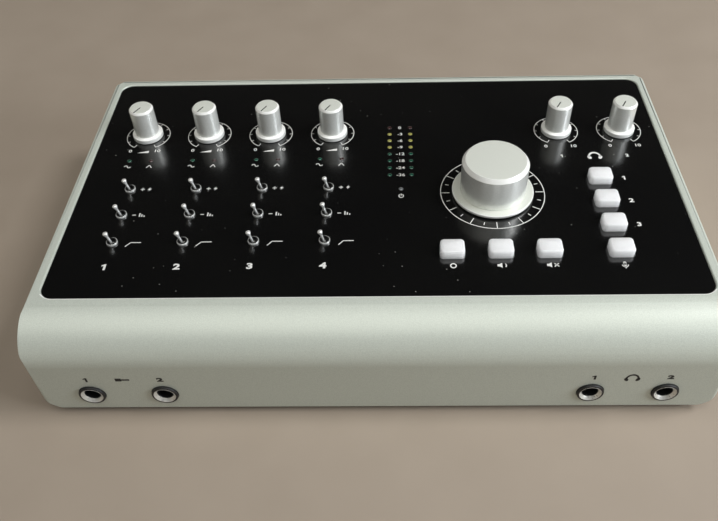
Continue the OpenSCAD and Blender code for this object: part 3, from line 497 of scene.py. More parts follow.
def is_lip(edge):
    """Whether an edge lies between a level face and an upright one."""
    if len(edge.link_faces) != 2:
        return False
    heights = sorted(face.normal.z for face in edge.link_faces)
    return abs(heights[0]) < UPRIGHT and heights[1] > LEVEL


def cut_inside(case):
    """Hollows the case out up to the ledge below the panel, and opens it below for the base."""
    inner_low = CASE_LOW + Vector((SIDE_WALL, SIDE_WALL, SIDE_WALL))
    inner_high = CASE_HIGH - Vector((SIDE_WALL, REAR_WALL, SIDE_WALL))
    inside = case_block(inner_low, inner_high, SIDE_WALL, EDGE_R, BOTTOM_R - SIDE_WALL, INNER_FRONT_R,
                        CORNER_R - SIDE_WALL)
    ledge_floor = (PANEL_LOW.z - LEDGE_T) * MM
    hold(inside, "EDIT")
    bpy.ops.mesh.select_all(action="SELECT")
    bpy.ops.mesh.bisect(plane_co=(0, 0, ledge_floor), plane_no=(0, 0, 1), use_fill=True, clear_outer=True)
    close(inside)
    cut(case, inside)
    base = BASE_HIGH - BASE_LOW + Vector((2 * BASE_GAP, 2 * BASE_GAP, 0))
    place = (BASE_LOW + BASE_HIGH) / 2
    place.z = CASE_LOW.z - CUT
    cut(case, rounded_slab((base.x, base.y, SIDE_WALL + 2 * CUT), place, BASE_CORNER_R + BASE_GAP))


def cut_panel_opening(case):
    """Sinks the panel's seat into the top, and leaves a ledge round the opening below it."""
    place = PANEL_MIDDLE.copy()
    place.z = PANEL_LOW.z
    seat = PANEL_SIZE + Vector((2 * PANEL_GAP, 2 * PANEL_GAP, 0))
    seat.z = CASE_HIGH.z - PANEL_LOW.z + CUT
    cut(case, rounded_slab(seat, place, PANEL_CORNER_R + PANEL_GAP))
    place.z = PANEL_LOW.z - LEDGE_T - CUT
    opening = (PANEL_SIZE.x - 2 * LEDGE_W, PANEL_SIZE.y - 2 * LEDGE_W, LEDGE_T + 2 * CUT)
    cut(case, rounded_slab(opening, place, PANEL_CORNER_R))


def cut_jack_holes(case):
    """Holes in the front for the jacks' collars."""
    wide = 2 * (COLLAR_R + HOLE_GAP)
    for x, z in FRONT_JACKS:
        hole = start("cylinder", (wide, wide, 4 * SIDE_WALL), radius=0.5, depth=1, vertices=48)
        close(hole)
        cut(case, move(hole, Matrix.Translation((x, CASE_LOW.y, z)) @ FRONTWARD))


def cut_rear_opening(case):
    """A pocket for the rear plate, and a window behind it that leaves a ledge."""
    plate = REAR_HIGH - REAR_LOW
    pocket = (plate.x + 2 * HOLE_GAP, plate.z + 2 * HOLE_GAP, REAR_WALL)
    window = (plate.x - 2 * REAR_LEDGE, plate.z - 2 * REAR_LIP, 2 * REAR_WALL)
    for size, y in ((pocket, REAR_LOW.y), (window, CASE_HIGH.y - REAR_WALL - CUT)):
        tool = rounded_slab(size, (0, 0, 0), REAR_CORNER_R)
        cut(case, move(tool, Matrix.Translation((0, y, REAR_MIDDLE.z)) @ BACKWARD))


def round_lip(case):
    """Rounds the sharp edges of the top, and marks the lip in front of the panel, which is cut bright and
    carries a painted highlight.
    """
    hold(case, "EDIT")
    top = (CASE_HIGH.z - TOUCH) * MM
    choose(case, "EDGE", lambda edge: is_lip(edge) and min(v.co.z for v in edge.verts) > top)
    bpy.ops.mesh.bevel(offset=LIP_R * MM, segments=LIP_SEGMENTS, affect="EDGES")
    bpy.ops.object.mode_set(mode="OBJECT")
    # The painted highlight ends a little way round the panel's front corners
    lip_start = CASE_LOW.y + NOSE_DEPTH
    lip_end = PANEL_LOW.y + PANEL_CORNER_R / 3
    for face in case.data.polygons:
        x, y, z = face.center / MM
        near = lip_start < y < lip_end and abs(x) < PANEL_HIGH.x and z > CASE_HIGH.z - LIP_R
        face.material_index = int(near and UPRIGHT < face.normal.z < LEVEL)


def make_case():
    """Cast case: a shell with a rolled front, open for the panel, the jacks, the rear plate and the base."""
    case = case_block(CASE_LOW, CASE_HIGH, 0, EDGE_R, BOTTOM_R, FRONT_CORNER_R, CORNER_R)
    cut_inside(case)
    cut_panel_opening(case)
    cut_jack_holes(case)
    cut_rear_opening(case)
    round_lip(case)
    settle(case, "case_shell", [silver, bright_cut_and_highlight], nodes=["top_case"], crease=40.0,
           weighted=True)


# Knobs and dial

POINTER_ANGLE = 210.0
KNOB_LIFT = 0.3
KNOB_R = 5.5
KNOB_FOOT = 2.4
KNOB_BEVEL = 0.9
KNOB_TOP_R = 4.75
SKIRT_R = 7.0
SKIRT_H = 1.9
SKIRT_INNER_R = 6.2
SKIRT_FLOOR = 0.8
GROOVE_SIZE = (0.5, 4.6, 0.9)
GROOVE_Y = 2.4
# The groove's faces lie within this radius, and between these depths below the top
GROOVE_REACH = 4.74
GROOVE_DEPTHS = (0.05, 0.6)
SPINDLE_R = 3.0
SPINDLE_TOP = 0.9
DIAL_R = 14.1
DIAL_FOOT_R = 13.9
DIAL_BEVEL = 1.7
DIAL_TOP_R = 12.75
DISC_R = 17.5
DISC_RIM_R = 17.55
DISC_EDGE_R = 17.2
DISC_BORE_R = 3.1
DIAL_STEPS = 128
# Faces steeper than this are walls, and those outside this radius belong to a knob's skirt
WALL_SLOPE = 0.3
SKIRT_FROM_R = 6.5


def sort_faces(piece, skirt_r=math.inf, groove=lambda face: False):
    """Marks the faces of a turned piece: 0 wall, 1 level, 2 slope or skirt, 3 groove."""
    for face in piece.data.polygons:
        slope = abs(face.normal.z)
        wall = slope < WALL_SLOPE and face.center.xy.length < skirt_r * MM
        face.material_index = 3 if groove(face) else 0 if wall else 1 if slope > LEVEL else 2
    return piece


def make_knobs():
    """Small knobs: a sloping skirt, a straight wall, a bevelled top and a painted pointer groove."""
    low, high = box_of("gain_knob_1")
    base = PANEL_MIDDLE.z + KNOB_LIFT
    top = high.z
    knob = turn([(0, base + SKIRT_FLOOR), (SKIRT_INNER_R, base + SKIRT_FLOOR), (SKIRT_INNER_R, base),
                 (SKIRT_R, base, 0.1), (SKIRT_R, base + SKIRT_H, 0.15), (KNOB_R, base + KNOB_FOOT, 0.1),
                 (KNOB_R, top - KNOB_BEVEL, 0.2), (KNOB_TOP_R, top, 0.2), (0, top)])
    groove = start("cube", GROOVE_SIZE, (0, GROOVE_Y, top), size=1)
    close(groove)
    move(groove, Matrix.Rotation(math.radians(-POINTER_ANGLE), 4, "Z"))
    cut(knob, groove)
    spindle = turn([(0, low.z), (SPINDLE_R, low.z, 0.3), (SPINDLE_R, base + SPINDLE_TOP),
                    (0, base + SPINDLE_TOP)], steps=32)
    knob = join([knob, spindle])

    def in_groove(face):
        depth = top - face.center.z / MM
        inside = face.center.xy.length < GROOVE_REACH * MM
        return inside and GROOVE_DEPTHS[0] < depth < GROOVE_DEPTHS[1]

    sort_faces(knob, SKIRT_FROM_R, in_groove)
    for kind, xs in (("gain", COLUMNS), ("phones", PHONES)):
        for i, x in enumerate(xs, 1):
            # Slopes and skirts take the third finish, a painted highlight
            settle(copy(knob, (x, KNOB_Y, 0)), f"{kind}_cap_{i}", [aluminium, blasted, bright_cut_and_highlight, groove_paint],
                   f"{kind}_{i}", [f"{kind}_knob_{i}"])
    bpy.data.objects.remove(knob)


def make_dial():
    """Volume dial on its skirt disc: a straight wall with a bevelled top."""
    low, high = box_of("volume_dial")
    dial = turn([(0, low.z), (DIAL_FOOT_R, low.z), (DIAL_R, low.z + 0.2), (DIAL_R, high.z - DIAL_BEVEL, 0.2),
                 (DIAL_TOP_R, high.z, 0.2), (0, high.z)], DIAL_STEPS)
    move(sort_faces(dial), Matrix.Translation((DIAL.x, DIAL.y, 0)))
    # The bevel's slope takes the third finish, a painted highlight
    settle(dial, "dial_cap", [aluminium, blasted, bright_cut_and_highlight], "volume", ["volume_dial"])
    low, high = box_of("dial_skirt")
    skirt = turn([(DISC_BORE_R, low.z), (DISC_EDGE_R, low.z, 0.1), (DISC_RIM_R, low.z + 0.5, 0.2),
                  (DISC_R, high.z - 0.3, 0.15), (DISC_EDGE_R, high.z, 0.15), (DISC_BORE_R, high.z),
                  (DISC_BORE_R, low.z)], DIAL_STEPS)
    move(sort_faces(skirt), Matrix.Translation((DIAL.x, DIAL.y, 0)))
    # The disc's slopes and rim take the painted highlight too
    settle(skirt, "dial_disc", [aluminium, blasted, bright_cut_and_highlight], "volume", ["dial_skirt"])


# Toggles

LEVER_TOP = 6.0
LEVER_FOOT = -2.0
LEVER_R = 0.5
LEVER_NECK_R = 0.52
LEVER_TIP_R = 1.05
LEVER_END_R = 0.6
LEVER_LEAN = -13.0
PIN_R = 0.4
PIN_REACH = 1.9
NUT_R = 2.3
NUT_BORE_R = 1.97
NUT_MOUTH_R = 2.05
NUT_H = 0.9


def make_toggles():
    """Toggle levers that flare to a round tip, and the ring nuts that hold their bushes."""
    top = PANEL_MIDDLE.z + LEVER_TOP - TOGGLES[0].z
    lever = turn([(0, LEVER_FOOT), (LEVER_R, LEVER_FOOT, 0.2), (LEVER_R, 2.6, 1.5),
                  (LEVER_NECK_R, top - 2.4, 2.0), (LEVER_TIP_R, top - 0.9, 0.5), (LEVER_TIP_R, top - 0.4, 0.3),
                  (LEVER_END_R, top, 0.4), (0, top)], steps=32)
    move(lever, Matrix.Rotation(math.radians(LEVER_LEAN), 4, "Y"))
    pin = turn([(0, -PIN_REACH), (PIN_R, -PIN_REACH, 0.1), (PIN_R, PIN_REACH, 0.1), (0, PIN_REACH)], steps=16)
    lever = join([lever, move(pin, FRONTWARD)])
    for i, place in enumerate(TOGGLES, 1):
        settle(copy(lever, place), f"lever_{i}", chrome, f"toggle_{i}", [f"toggle_lever_{i}"])
    bpy.data.objects.remove(lever)
    nut = turn([(NUT_BORE_R, 0), (NUT_R, 0, 0.05), (NUT_R, NUT_H, 0.12), (NUT_MOUTH_R, NUT_H, 0.1),
                (NUT_BORE_R, 0.7), (NUT_BORE_R, 0)], steps=48)
    nuts = row(nut, [(place.x, place.y, PANEL_MIDDLE.z) for place in TOGGLES])
    settle(nuts, "nut_rings", chrome, nodes=["toggle_nuts"])


# Push buttons

CAP_SINK = 0.5
CAP_CORNER_R = 1.6
CAP_TOP_R = 1.0
CAP_SEGMENTS = 8
CROWN = 0.2
# Each step of the crown: its share of the step below, and its rise
CROWN_STEPS = ((0.85, 0.08), (0.75, 0.06), (0.6, 0.04), (0.4, 0.02))
STEM_R = 1.5


def make_buttons():
    """Button caps with round corners, round top edges and a slightly crowned face, each on its stem."""
    low, high = box_of("push_button_1")
    size = high - low
    cap_low = PANEL_LOW.z - CAP_SINK
    cap = start("cube", (size.x, size.y, high.z - cap_low), (0, 0, (high.z + cap_low) / 2), size=1)
    choose(cap, "EDGE", lambda edge: abs(edge.verts[0].co.z - edge.verts[1].co.z) > MM)
    bpy.ops.mesh.bevel(offset=CAP_CORNER_R * MM, segments=CAP_SEGMENTS, affect="EDGES")
    choose(cap, "FACE", lambda face: face.normal.z > FLAT)
    bpy.ops.mesh.bevel(offset=CAP_TOP_R * MM, segments=CAP_SEGMENTS, affect="EDGES")
    choose(cap, "FACE", lambda face: face.normal.z > FLAT)
    bpy.ops.transform.translate(value=(0, 0, -CROWN * MM))
    for share, rise in CROWN_STEPS:
        pull(z=rise)
        bpy.ops.transform.resize(value=(share, share, 1), center_override=(0, 0, 0))
    close(cap)
    stem_top = cap_low + CAP_SINK
    stem = turn([(0, low.z), (STEM_R, low.z, 0.2), (STEM_R, stem_top), (0, stem_top)], steps=24)
    button = join([cap, stem])
    for i, place in enumerate(BUTTONS, 1):
        # The caps glow faintly: painted light that lightens their shaded fronts
        settle(copy(button, (place.x, place.y, 0)), f"button_cap_{i}", polycarbonate, f"button_{i}",
               [f"push_button_{i}"], crease=60.0)
    bpy.data.objects.remove(button)


# Lamps

METER_X = 10.95
METER_GAP = 9.7
METER_LOW_Y = -0.6
METER_PITCH = 4.9
CHANNEL_LAMP_Y = 11.2
CHANNEL_LAMP_GAP = 10.0
STATUS_Y = -10.0
PIPE_R = 1.0
PIPE_FOOT_R = 1.5
PIPE_FOOT_H = 1.5


def meter_rows(first, last):
    """Places of the meter's lamps in some of its rows, counted from the lowest."""
    return [(METER_X + side * METER_GAP / 2, PANEL_MIDDLE.y + METER_LOW_Y + j * METER_PITCH, 0)
            for j in range(first, last + 1) for side in (-1, 1)]


def make_lamps():
    """Light pipes with domed ends, one group for each colour."""
    low, high = box_of("green_lamps")
    step = low.z + PIPE_FOOT_H
    dome = high.z
    pipe = turn([(0, low.z), (PIPE_FOOT_R, low.z), (PIPE_FOOT_R, step), (PIPE_R, step),
                 (PIPE_R, dome - 0.22, 0.15), (0.6, dome - 0.06, 0.4), (0, dome)], steps=32)
    lamp_y = PANEL_MIDDLE.y + CHANNEL_LAMP_Y
    signal = [(x - CHANNEL_LAMP_GAP / 2, lamp_y, 0) for x in COLUMNS]
    peak = [(x + CHANNEL_LAMP_GAP / 2, lamp_y, 0) for x in COLUMNS]
    groups = {
        "green": (signal + meter_rows(0, 3), green_lens),
        "yellow": (meter_rows(4, 6), yellow_lens),
        "red": (peak + meter_rows(7, 7), red_lens),
    }
    for colour, (places, lens) in groups.items():
        settle(row(copy(pipe, (0, 0, 0)), places), f"{colour}_lenses", lens,
               nodes=[f"{colour}_lamps"])
    status = row(pipe, [(METER_X, PANEL_MIDDLE.y + STATUS_Y, 0)])
    settle(status, "status_lens", clear_lens, nodes=["status_lamp"])


# Jacks

def make_ferrule():
    """Bright ferrule of a jack, with a bevelled mouth and a black bore. It points up."""
    foot = COLLAR_PROUD - FERRULE_L
    wall_r = FERRULE_R - FERRULE_GAP
    ferrule = turn([(BORE_R, foot), (wall_r, foot), (wall_r, COLLAR_PROUD, 0.1), (MOUTH_R, COLLAR_PROUD, 0.05),
                    (BORE_R, MOUTH_FLOOR, 0.2), (BORE_R, foot)])
    # Joining keeps the faces' marks only where the pieces have their materials
    for used in (nickel, abs_black):
        ferrule.data.materials.append(used)
    for face in ferrule.data.polygons:
        face.material_index = int(face.center.xy.length < (BORE_R + FERRULE_GAP) * MM)
    return ferrule


def make_collar(depth):
    """Black collar of a jack, from behind its wall to its round front edge. It points up."""
    return turn([(FERRULE_R, -depth), (COLLAR_R, -depth), (COLLAR_R, COLLAR_PROUD, 0.45),
                 (FERRULE_R + FERRULE_GAP, COLLAR_PROUD, 0.15), (FERRULE_R, -depth)])


def make_housing(low, high, matrices):
    """Black block with round edges behind the collars, bored along each jack's axis."""
    block = start("cube", high - low, (low + high) / 2, size=1)
    bpy.ops.mesh.bevel(offset=HOUSING_EDGE * MM, segments=2, affect="EDGES")
    close(block)
    for matrix in matrices:
        bore = start("cylinder", HOUSING_BORE, radius=0.5, depth=1, vertices=40)
        close(bore)
        cut(block, move(bore, matrix))
    return block


def make_jacks():
    """Quarter-inch jacks, front and rear: ferrules, collars and housings."""
    front = [Matrix.Translation((x, CASE_LOW.y, z)) @ FRONTWARD for x, z in FRONT_JACKS]
    rear = [Matrix.Translation((x, REAR_HIGH.y, z)) @ BACKWARD for x in REAR_JACK_XS for z in REAR_JACK_ZS]
    rings = join(laid(make_ferrule(), front + rear))
    settle(rings, "jack_rings", [nickel, abs_black], nodes=["jack_ferrules"])
    for name, node, matrices in (("front_collars", "front_jacks", front), ("rear_collars", "rear_jacks", rear)):
        low, high = box_of(node)
        # The housing takes the node's depth, less the wall and the collar in front of it
        if node == "front_jacks":
            depth = SIDE_WALL
            low.y += COLLAR_PROUD + depth
        else:
            depth = REAR_HIGH.y - REAR_LOW.y
            high.y -= COLLAR_PROUD + depth
        pieces = laid(make_collar(depth), matrices)
        for x in sorted({round(matrix.translation.x, 3) for matrix in matrices}):
            low.x, high.x = x - HOUSING_W / 2, x + HOUSING_W / 2
            stacked = [matrix for matrix in matrices if abs(matrix.translation.x - x) < TOUCH]
            pieces.append(make_housing(low, high, stacked))
        settle(join(pieces), name, abs_black, nodes=[node])


# Feet and screws

FOOT_R = 7.0
SCREW_HEAD_R = 2.75
SCREW_HEAD_H = 1.6
SHANK_R = 1.2
BASE_SHANK = 9.2
REAR_SHANK = 3.5
RECESS_SIZE = (3.0, 0.6, 1.6)
RECESS_Z = 1.7
# The base's front and rear screws lie this far inside the case
BASE_SCREW_FRONT = 26.0
BASE_SCREW_REAR = 42.0


def make_feet():
    """Rubber feet with a soft edge and a shallow dish below."""
    low, high = box_of("rubber_feet")
    foot = turn([(0, 0.4), (4.6, 0.4, 0.3), (5.2, 0, 0.3), (6.4, 0, 0.5), (FOOT_R, 0.9, 0.6), (FOOT_R, high.z),
                 (0, high.z)])
    places = [(x, y, 0) for x in (low.x + FOOT_R, high.x - FOOT_R) for y in (low.y + FOOT_R, high.y - FOOT_R)]
    settle(row(foot, places), "foot_pads", rubber, nodes=["rubber_feet"])


def make_screw(shank):
    """A pan-head screw with a cross recess. It points up."""
    screw = turn([(0, SCREW_HEAD_H), (1.2, SCREW_HEAD_H, 0.6), (2.5, 0.9, 0.6), (SCREW_HEAD_R, 0, 0.1),
                  (SHANK_R, 0), (SHANK_R, -shank, 0.3), (0, -shank)], steps=40)
    for angle in (0, 90):
        recess = start("cube", RECESS_SIZE, (0, 0, RECESS_Z), size=1)
        close(recess)
        cut(screw, move(recess, Matrix.Rotation(math.radians(angle), 4, "Z")))
    return screw


def make_screws():
    """Six screws in the base and four in the rear plate."""
    low, high = box_of("case_screws")
    down = Matrix.Rotation(math.pi, 4, "X")
    xs = (low.x + SCREW_HEAD_R, high.x - SCREW_HEAD_R)
    ys = (CASE_LOW.y + BASE_SCREW_FRONT, (CASE_LOW.y + CASE_HIGH.y) / 2, CASE_HIGH.y - BASE_SCREW_REAR)
    below = [Matrix.Translation((x, y, CASE_LOW.z)) @ down for x in xs for y in ys]
    reach = (REAR_HIGH - REAR_LOW) / 2 - Vector((REAR_LEDGE / 2, 0, REAR_LEDGE / 2))
    behind = [Matrix.Translation((REAR_MIDDLE.x + across * reach.x, REAR_HIGH.y, REAR_MIDDLE.z + up * reach.z))
              @ BACKWARD for across in (-1, 1) for up in (-1, 1)]
    screws = laid(make_screw(BASE_SHANK), below) + laid(make_screw(REAR_SHANK), behind)
    settle(join(screws), "screw_set", zinc, nodes=["case_screws"])


# Print: flat marks are drawn on a level sheet, then thickened and laid on their face

INK = 0.04
SIGN_W = 0.4
# Knob scales
SCALE_R = 10.1
SCALE_W = 0.3
TICK_W = 0.28
TICK = 1.2
END_TICK = 1.9
SCALE_NUMBER = 1.9
THIN = 0.012
# The dial's ring and its long and short ticks, from one radius to another
RING_R = 22.4
RING_W = 0.35
LONG_TICK = (18.6, 22.4)
SHORT_TICK = (19.3, 20.9)
# Places of the rows of signs along Y, from the middle of the panel
LEVEL_Y = 17.0
LAMP_SIGN_Y = 7.1
SUPPLY_Y = -8.5
STEP_Y = -25.0
LOW_CUT_Y = -41.5
CHANNEL_NUMBER_Y = -55.2
PHONES_NUMBER_Y = 11.3
PHONES_SIGN_Y = 11.6
BUTTON_SIGN_Y = -56.0
BUTTON_NUMBER_X = 10.6
# On the front and the rear
FRONT_SIGN_LIFT = 9.8
REAR_NUMBER_Z = 36.6
POWER_SIGN_Z = 38.4


def bar(first, last, width):
    """A straight stroke."""
    a, b = Vector(first), Vector(last)
    run = b - a
    stroke = start("plane", (run.length, width, 1), size=1)
    bpy.ops.object.mode_set(mode="OBJECT")
    middle = (a + b) / 2
    turned = Matrix.Rotation(math.atan2(run.y, run.x), 4, "Z")
    return move(stroke, Matrix.Translation((middle.x, middle.y, 0)) @ turned)


def arc(centre, radius, width, first, sweep):
    """A stroke along part of a circle, from an angle in degrees."""
    stroke = draw([(radius - width / 2, 0, 0), (radius + width / 2, 0, 0)])
    steps = max(6, int(abs(sweep) / 5))
    bpy.ops.mesh.spin(steps=steps, angle=math.radians(-sweep), center=(0, 0, 0), axis=(0, 0, 1))
    bpy.ops.mesh.select_all(action="SELECT")
    bpy.ops.mesh.remove_doubles(threshold=MERGE_GAP * MM)
    bpy.ops.object.mode_set(mode="OBJECT")
    return move(stroke, Matrix.Translation((*centre, 0)) @ Matrix.Rotation(math.radians(first), 4, "Z"))


def blob(points):
    """A filled outline."""
    shape = draw([(x, y, 0) for x, y in points])
    bpy.ops.mesh.edge_face_add()
    bpy.ops.object.mode_set(mode="OBJECT")
    return shape


def disc(centre, diameter):
    """A filled circle."""
    shape = start("circle", (diameter, diameter, 1), (*centre, 0), radius=0.5, vertices=24, fill_type="NGON")
    bpy.ops.object.mode_set(mode="OBJECT")
    return shape


def number(text, centre, height, wide=1.2, bold=0.03):
    """A plain number of a height, centred at a place; bold is a share of its height."""
    if text == "1":
        # The typeface's own 1 has next to no flag
        outline = [(0.16, 0.5), (0.16, -0.5), (-0.05, -0.5), (-0.05, 0.22), (-0.26, 0.12), (-0.26, 0.3),
                   (0, 0.5)]
        return blob([(centre[0] + height * wide * x, centre[1] + height * y) for x, y in outline])
    deselect()
    bpy.ops.object.text_add(location=(0, 0, 0))
    words = bpy.context.object
    words.data.body = text
    words.data.size = height * MM
    words.data.offset = bold * height * MM
    words.data.resolution_u = 4
    bpy.ops.object.convert(target="MESH")
    made = bpy.context.object
    xs = [v.co.x / MM for v in made.data.vertices]
    ys = [v.co.y / MM for v in made.data.vertices]
    scale = height / (max(ys) - min(ys))
    shift = Matrix.Translation((-(min(xs) + max(xs)) / 2, -(min(ys) + max(ys)) / 2, 0))
    move(made, shift)
    made.data.transform(Matrix.Diagonal((scale * wide, scale, 1, 1)))
    return move(made, Matrix.Translation((*centre, 0)))


def print_on(marks, name, ink, matrix):
    """Joins marks, gives them the thickness of ink and lays them on their face."""
    sheet = join(marks)
    hold(sheet)
    step = sheet.modifiers.new("ink", "SOLIDIFY")
    step.thickness = INK * MM
    step.offset = 0.0
    bpy.ops.object.modifier_apply(modifier=step.name)
    hold(sheet, "EDIT")
    close(sheet)
    move(sheet, matrix @ Matrix.Translation((0, 0, INK / 2)))
    settle(sheet, name, ink)


def knob_scale(x, y):
    """An open ring with ticks that point inwards, a nought and a ten."""
    middle = Vector((x, y))
    marks = [arc((x, y), SCALE_R, SCALE_W, -60, 300)]
    for k in range(11):
        angle = math.radians(-120 - 30 * k)
        way = Vector((math.cos(angle), math.sin(angle)))
        length = END_TICK if k in (0, 10) else TICK
        marks.append(bar(middle + way * SCALE_R, middle + way * (SCALE_R - length), TICK_W))
    for text, across in (("0", -6.2), ("10", 6.6)):
        marks.append(number(text, (x + across, y - 11.5), SCALE_NUMBER, bold=THIN))
    return marks


def headphones(x, y, size):
    """A headband with two cups."""
    band = arc((0, 0), 0.4 * size, 0.13 * size, 5, 170)
    band.data.transform(Matrix.Diagonal((1, 1.2, 1, 1)))
    marks = [move(band, Matrix.Translation((x, y - 0.2 * size, 0)))]
    for side in (-1, 1):
        cup = disc((0, 0), 1)
        cup.data.transform(Matrix.Diagonal((0.26 * size, 0.38 * size, 1, 1)))
        marks.append(move(cup, Matrix.Translation((x + side * 0.38 * size, y - 0.24 * size, 0))
                          @ Matrix.Rotation(-side * 0.5, 4, "Z")))
    return marks


def speaker(x, y):
    """A small loudspeaker seen from the side."""
    return blob([(x - 1.5, y - 0.6), (x - 0.7, y - 0.6), (x + 0.4, y - 1.3), (x + 0.4, y + 1.3),
                 (x - 0.7, y + 0.6), (x - 1.5, y + 0.6)])


def bolt(x, y):
    """A lightning bolt."""
    return blob([(x + 0.3, y + 1.2), (x - 0.9, y - 0.2), (x - 0.1, y - 0.2), (x - 0.4, y - 1.2),
                 (x + 0.9, y + 0.3), (x + 0.1, y + 0.3)])


def channel_signs(x):
    """The signs of one channel, from the rear to the front."""
    # Rising level under the knob, wave and peak under the lamps
    marks = [blob([(x - 2.6, LEVEL_Y), (x + 2.6, LEVEL_Y), (x + 2.6, LEVEL_Y + 1.6)])]
    marks.append(arc((x - 5.7, LAMP_SIGN_Y), 0.7, SIGN_W, 0, 180))
    marks.append(arc((x - 4.3, LAMP_SIGN_Y), 0.7, SIGN_W, 180, 180))
    for side in (-1, 1):
        foot = (x + 5.0 + side * 1.2, LAMP_SIGN_Y - 0.8)
        marks.append(bar(foot, (x + 5.0, LAMP_SIGN_Y + 1.0), SIGN_W))
    # Supply, level step and low cut beside the toggles
    marks.append(bar((x + 4.6, SUPPLY_Y), (x + 6.4, SUPPLY_Y), SIGN_W))
    marks.append(bar((x + 5.5, SUPPLY_Y - 0.9), (x + 5.5, SUPPLY_Y + 0.9), SIGN_W))
    marks.append(bolt(x + 8.6, SUPPLY_Y))
    marks.append(bar((x + 4.6, STEP_Y), (x + 6.2, STEP_Y), SIGN_W))
    for k, tall in enumerate((2.2, 1.5, 0.8)):
        foot = (x + 7.8 + k, STEP_Y - 1.1)
        marks.append(bar(foot, (foot[0], foot[1] + tall), 0.5))
    marks.append(bar((x + 5.8, LOW_CUT_Y - 2.3), (x + 7.7, LOW_CUT_Y), SIGN_W))
    marks.append(bar((x + 7.6, LOW_CUT_Y), (x + 12.0, LOW_CUT_Y), SIGN_W))
    return marks


def dial_ring(middle):
    """A ring with long and short ticks that point inwards."""
    marks = [arc(middle, RING_R, RING_W, 0, 360)]
    for k in range(24):
        angle = math.radians(15 * k)
        way = Vector((math.cos(angle), math.sin(angle)))
        inner, outer = LONG_TICK if k % 2 == 0 else SHORT_TICK
        marks.append(bar(middle + way * inner, middle + way * outer, RING_W))
    return marks


def button_signs(y):
    """Signs below the front buttons: mode, dim, cut and talk."""
    mode, dim, mute, talk = [BUTTONS[i].x for i in (0, 1, 2, 6)]
    marks = [arc((mode, y), 1.1, 0.5, 0, 360)]
    for x in (dim, mute):
        marks.append(speaker(x - 0.6, y))
    marks.append(arc((dim + 0.2, y), 1.2, SIGN_W, -45, 90))
    for rise in (-1, 1):
        marks.append(bar((mute + 0.8, y + rise * 0.9), (mute + 2.6, y - rise * 0.9), SIGN_W))
    # A microphone: its head, its cradle and its foot
    marks.append(disc((talk, y + 0.8), 1.3))
    marks.append(bar((talk, y - 0.3), (talk, y + 0.8), 1.3))
    marks.append(disc((talk, y - 0.3), 1.3))
    marks.append(arc((talk, y - 0.2), 1.2, 0.3, 180, 180))
    marks.append(bar((talk, y - 1.4), (talk, y - 2.2), 0.35))
    return marks


def make_panel_print():
    """Marks on the control panel: scales, numbers and small signs, in white ink."""
    middle_y = PANEL_MIDDLE.y
    marks = []
    for x in COLUMNS + PHONES:
        marks += knob_scale(x, KNOB_Y - middle_y)
    for i, x in enumerate(COLUMNS, 1):
        marks += channel_signs(x)
        marks.append(number(str(i), (x, CHANNEL_NUMBER_Y), 3.2, wide=1.35, bold=0.04))
    for i, x in enumerate(PHONES, 1):
        marks.append(number(str(i), (x, PHONES_NUMBER_Y), 1.9))
    marks += headphones(sum(PHONES) / 2, PHONES_SIGN_Y, 6.4)
    marks += dial_ring(Vector((DIAL.x, DIAL.y - middle_y)))
    for j, text in enumerate(("-36", "-24", "-18", "-12", "-9", "-6", "-3", "0")):
        marks.append(number(text, (METER_X, METER_LOW_Y + j * METER_PITCH), 1.8, bold=THIN))
    # Power sign below the status lamp
    marks.append(arc((METER_X, STATUS_Y - 4.6), 1.0, 0.35, 120, 300))
    marks.append(bar((METER_X, STATUS_Y - 4.5), (METER_X, STATUS_Y - 3.2), 0.35))
    marks += button_signs(BUTTON_SIGN_Y)
    for i, place in enumerate(BUTTONS[3:6], 1):
        marks.append(number(str(i), (place.x + BUTTON_NUMBER_X, place.y - middle_y), 2.4, wide=1.35))
    print_on(marks, "panel_print", white_ink, Matrix.Translation(PANEL_MIDDLE))


def make_front_print():
    """Marks above the front jacks, in dark ink."""
    xs = sorted(x for x, _ in FRONT_JACKS)
    z = JACK_Z + FRONT_SIGN_LIFT
    marks = [number(text, (x, z), 2.6, wide=1.5, bold=0.06) for x, text in zip(xs, ("1", "2", "1", "2"))]
    marks += headphones((xs[2] + xs[3]) / 2, z, 5.9)
    # A plug: its grip, its shaft and its tip
    plug = (xs[0] + xs[1]) / 2
    marks.append(bar((plug - 3, z), (plug - 0.6, z), 1.9))
    marks.append(bar((plug - 0.6, z), (plug + 1.8, z), 0.9))
    marks.append(disc((plug + 2.2, z), 1.0))
    print_on(marks, "front_print", dark_ink, Matrix.Translation((0, CASE_LOW.y, 0)) @ FRONTWARD)


def make_rear_print():
    """Numbers above the rear sockets and a power sign, in white ink. From behind, X runs the other way."""
    marks = [number(str(i), (-x, REAR_NUMBER_Z), 2.6) for i, x in enumerate(COMBO_XS, 1)]
    marks += [number(str(i), (-x, REAR_NUMBER_Z), 2.2) for i, x in enumerate(REAR_JACK_XS, 1)]
    power = -middle_of("power_button").x
    marks.append(arc((power, POWER_SIGN_Z), 1.3, 0.45, 120, 300))
    marks.append(bar((power, POWER_SIGN_Z + 0.1), (power, POWER_SIGN_Z + 1.7), 0.45))
    turned = Matrix.Rotation(math.pi, 4, "Z") @ FRONTWARD
    print_on(marks, "rear_print", white_ink, Matrix.Translation((0, REAR_HIGH.y, 0)) @ turned)


make_case()
make_knobs()
make_dial()
make_toggles()
make_buttons()
make_lamps()
make_jacks()
make_feet()
make_screws()
make_panel_print()
make_front_print()
make_rear_print()

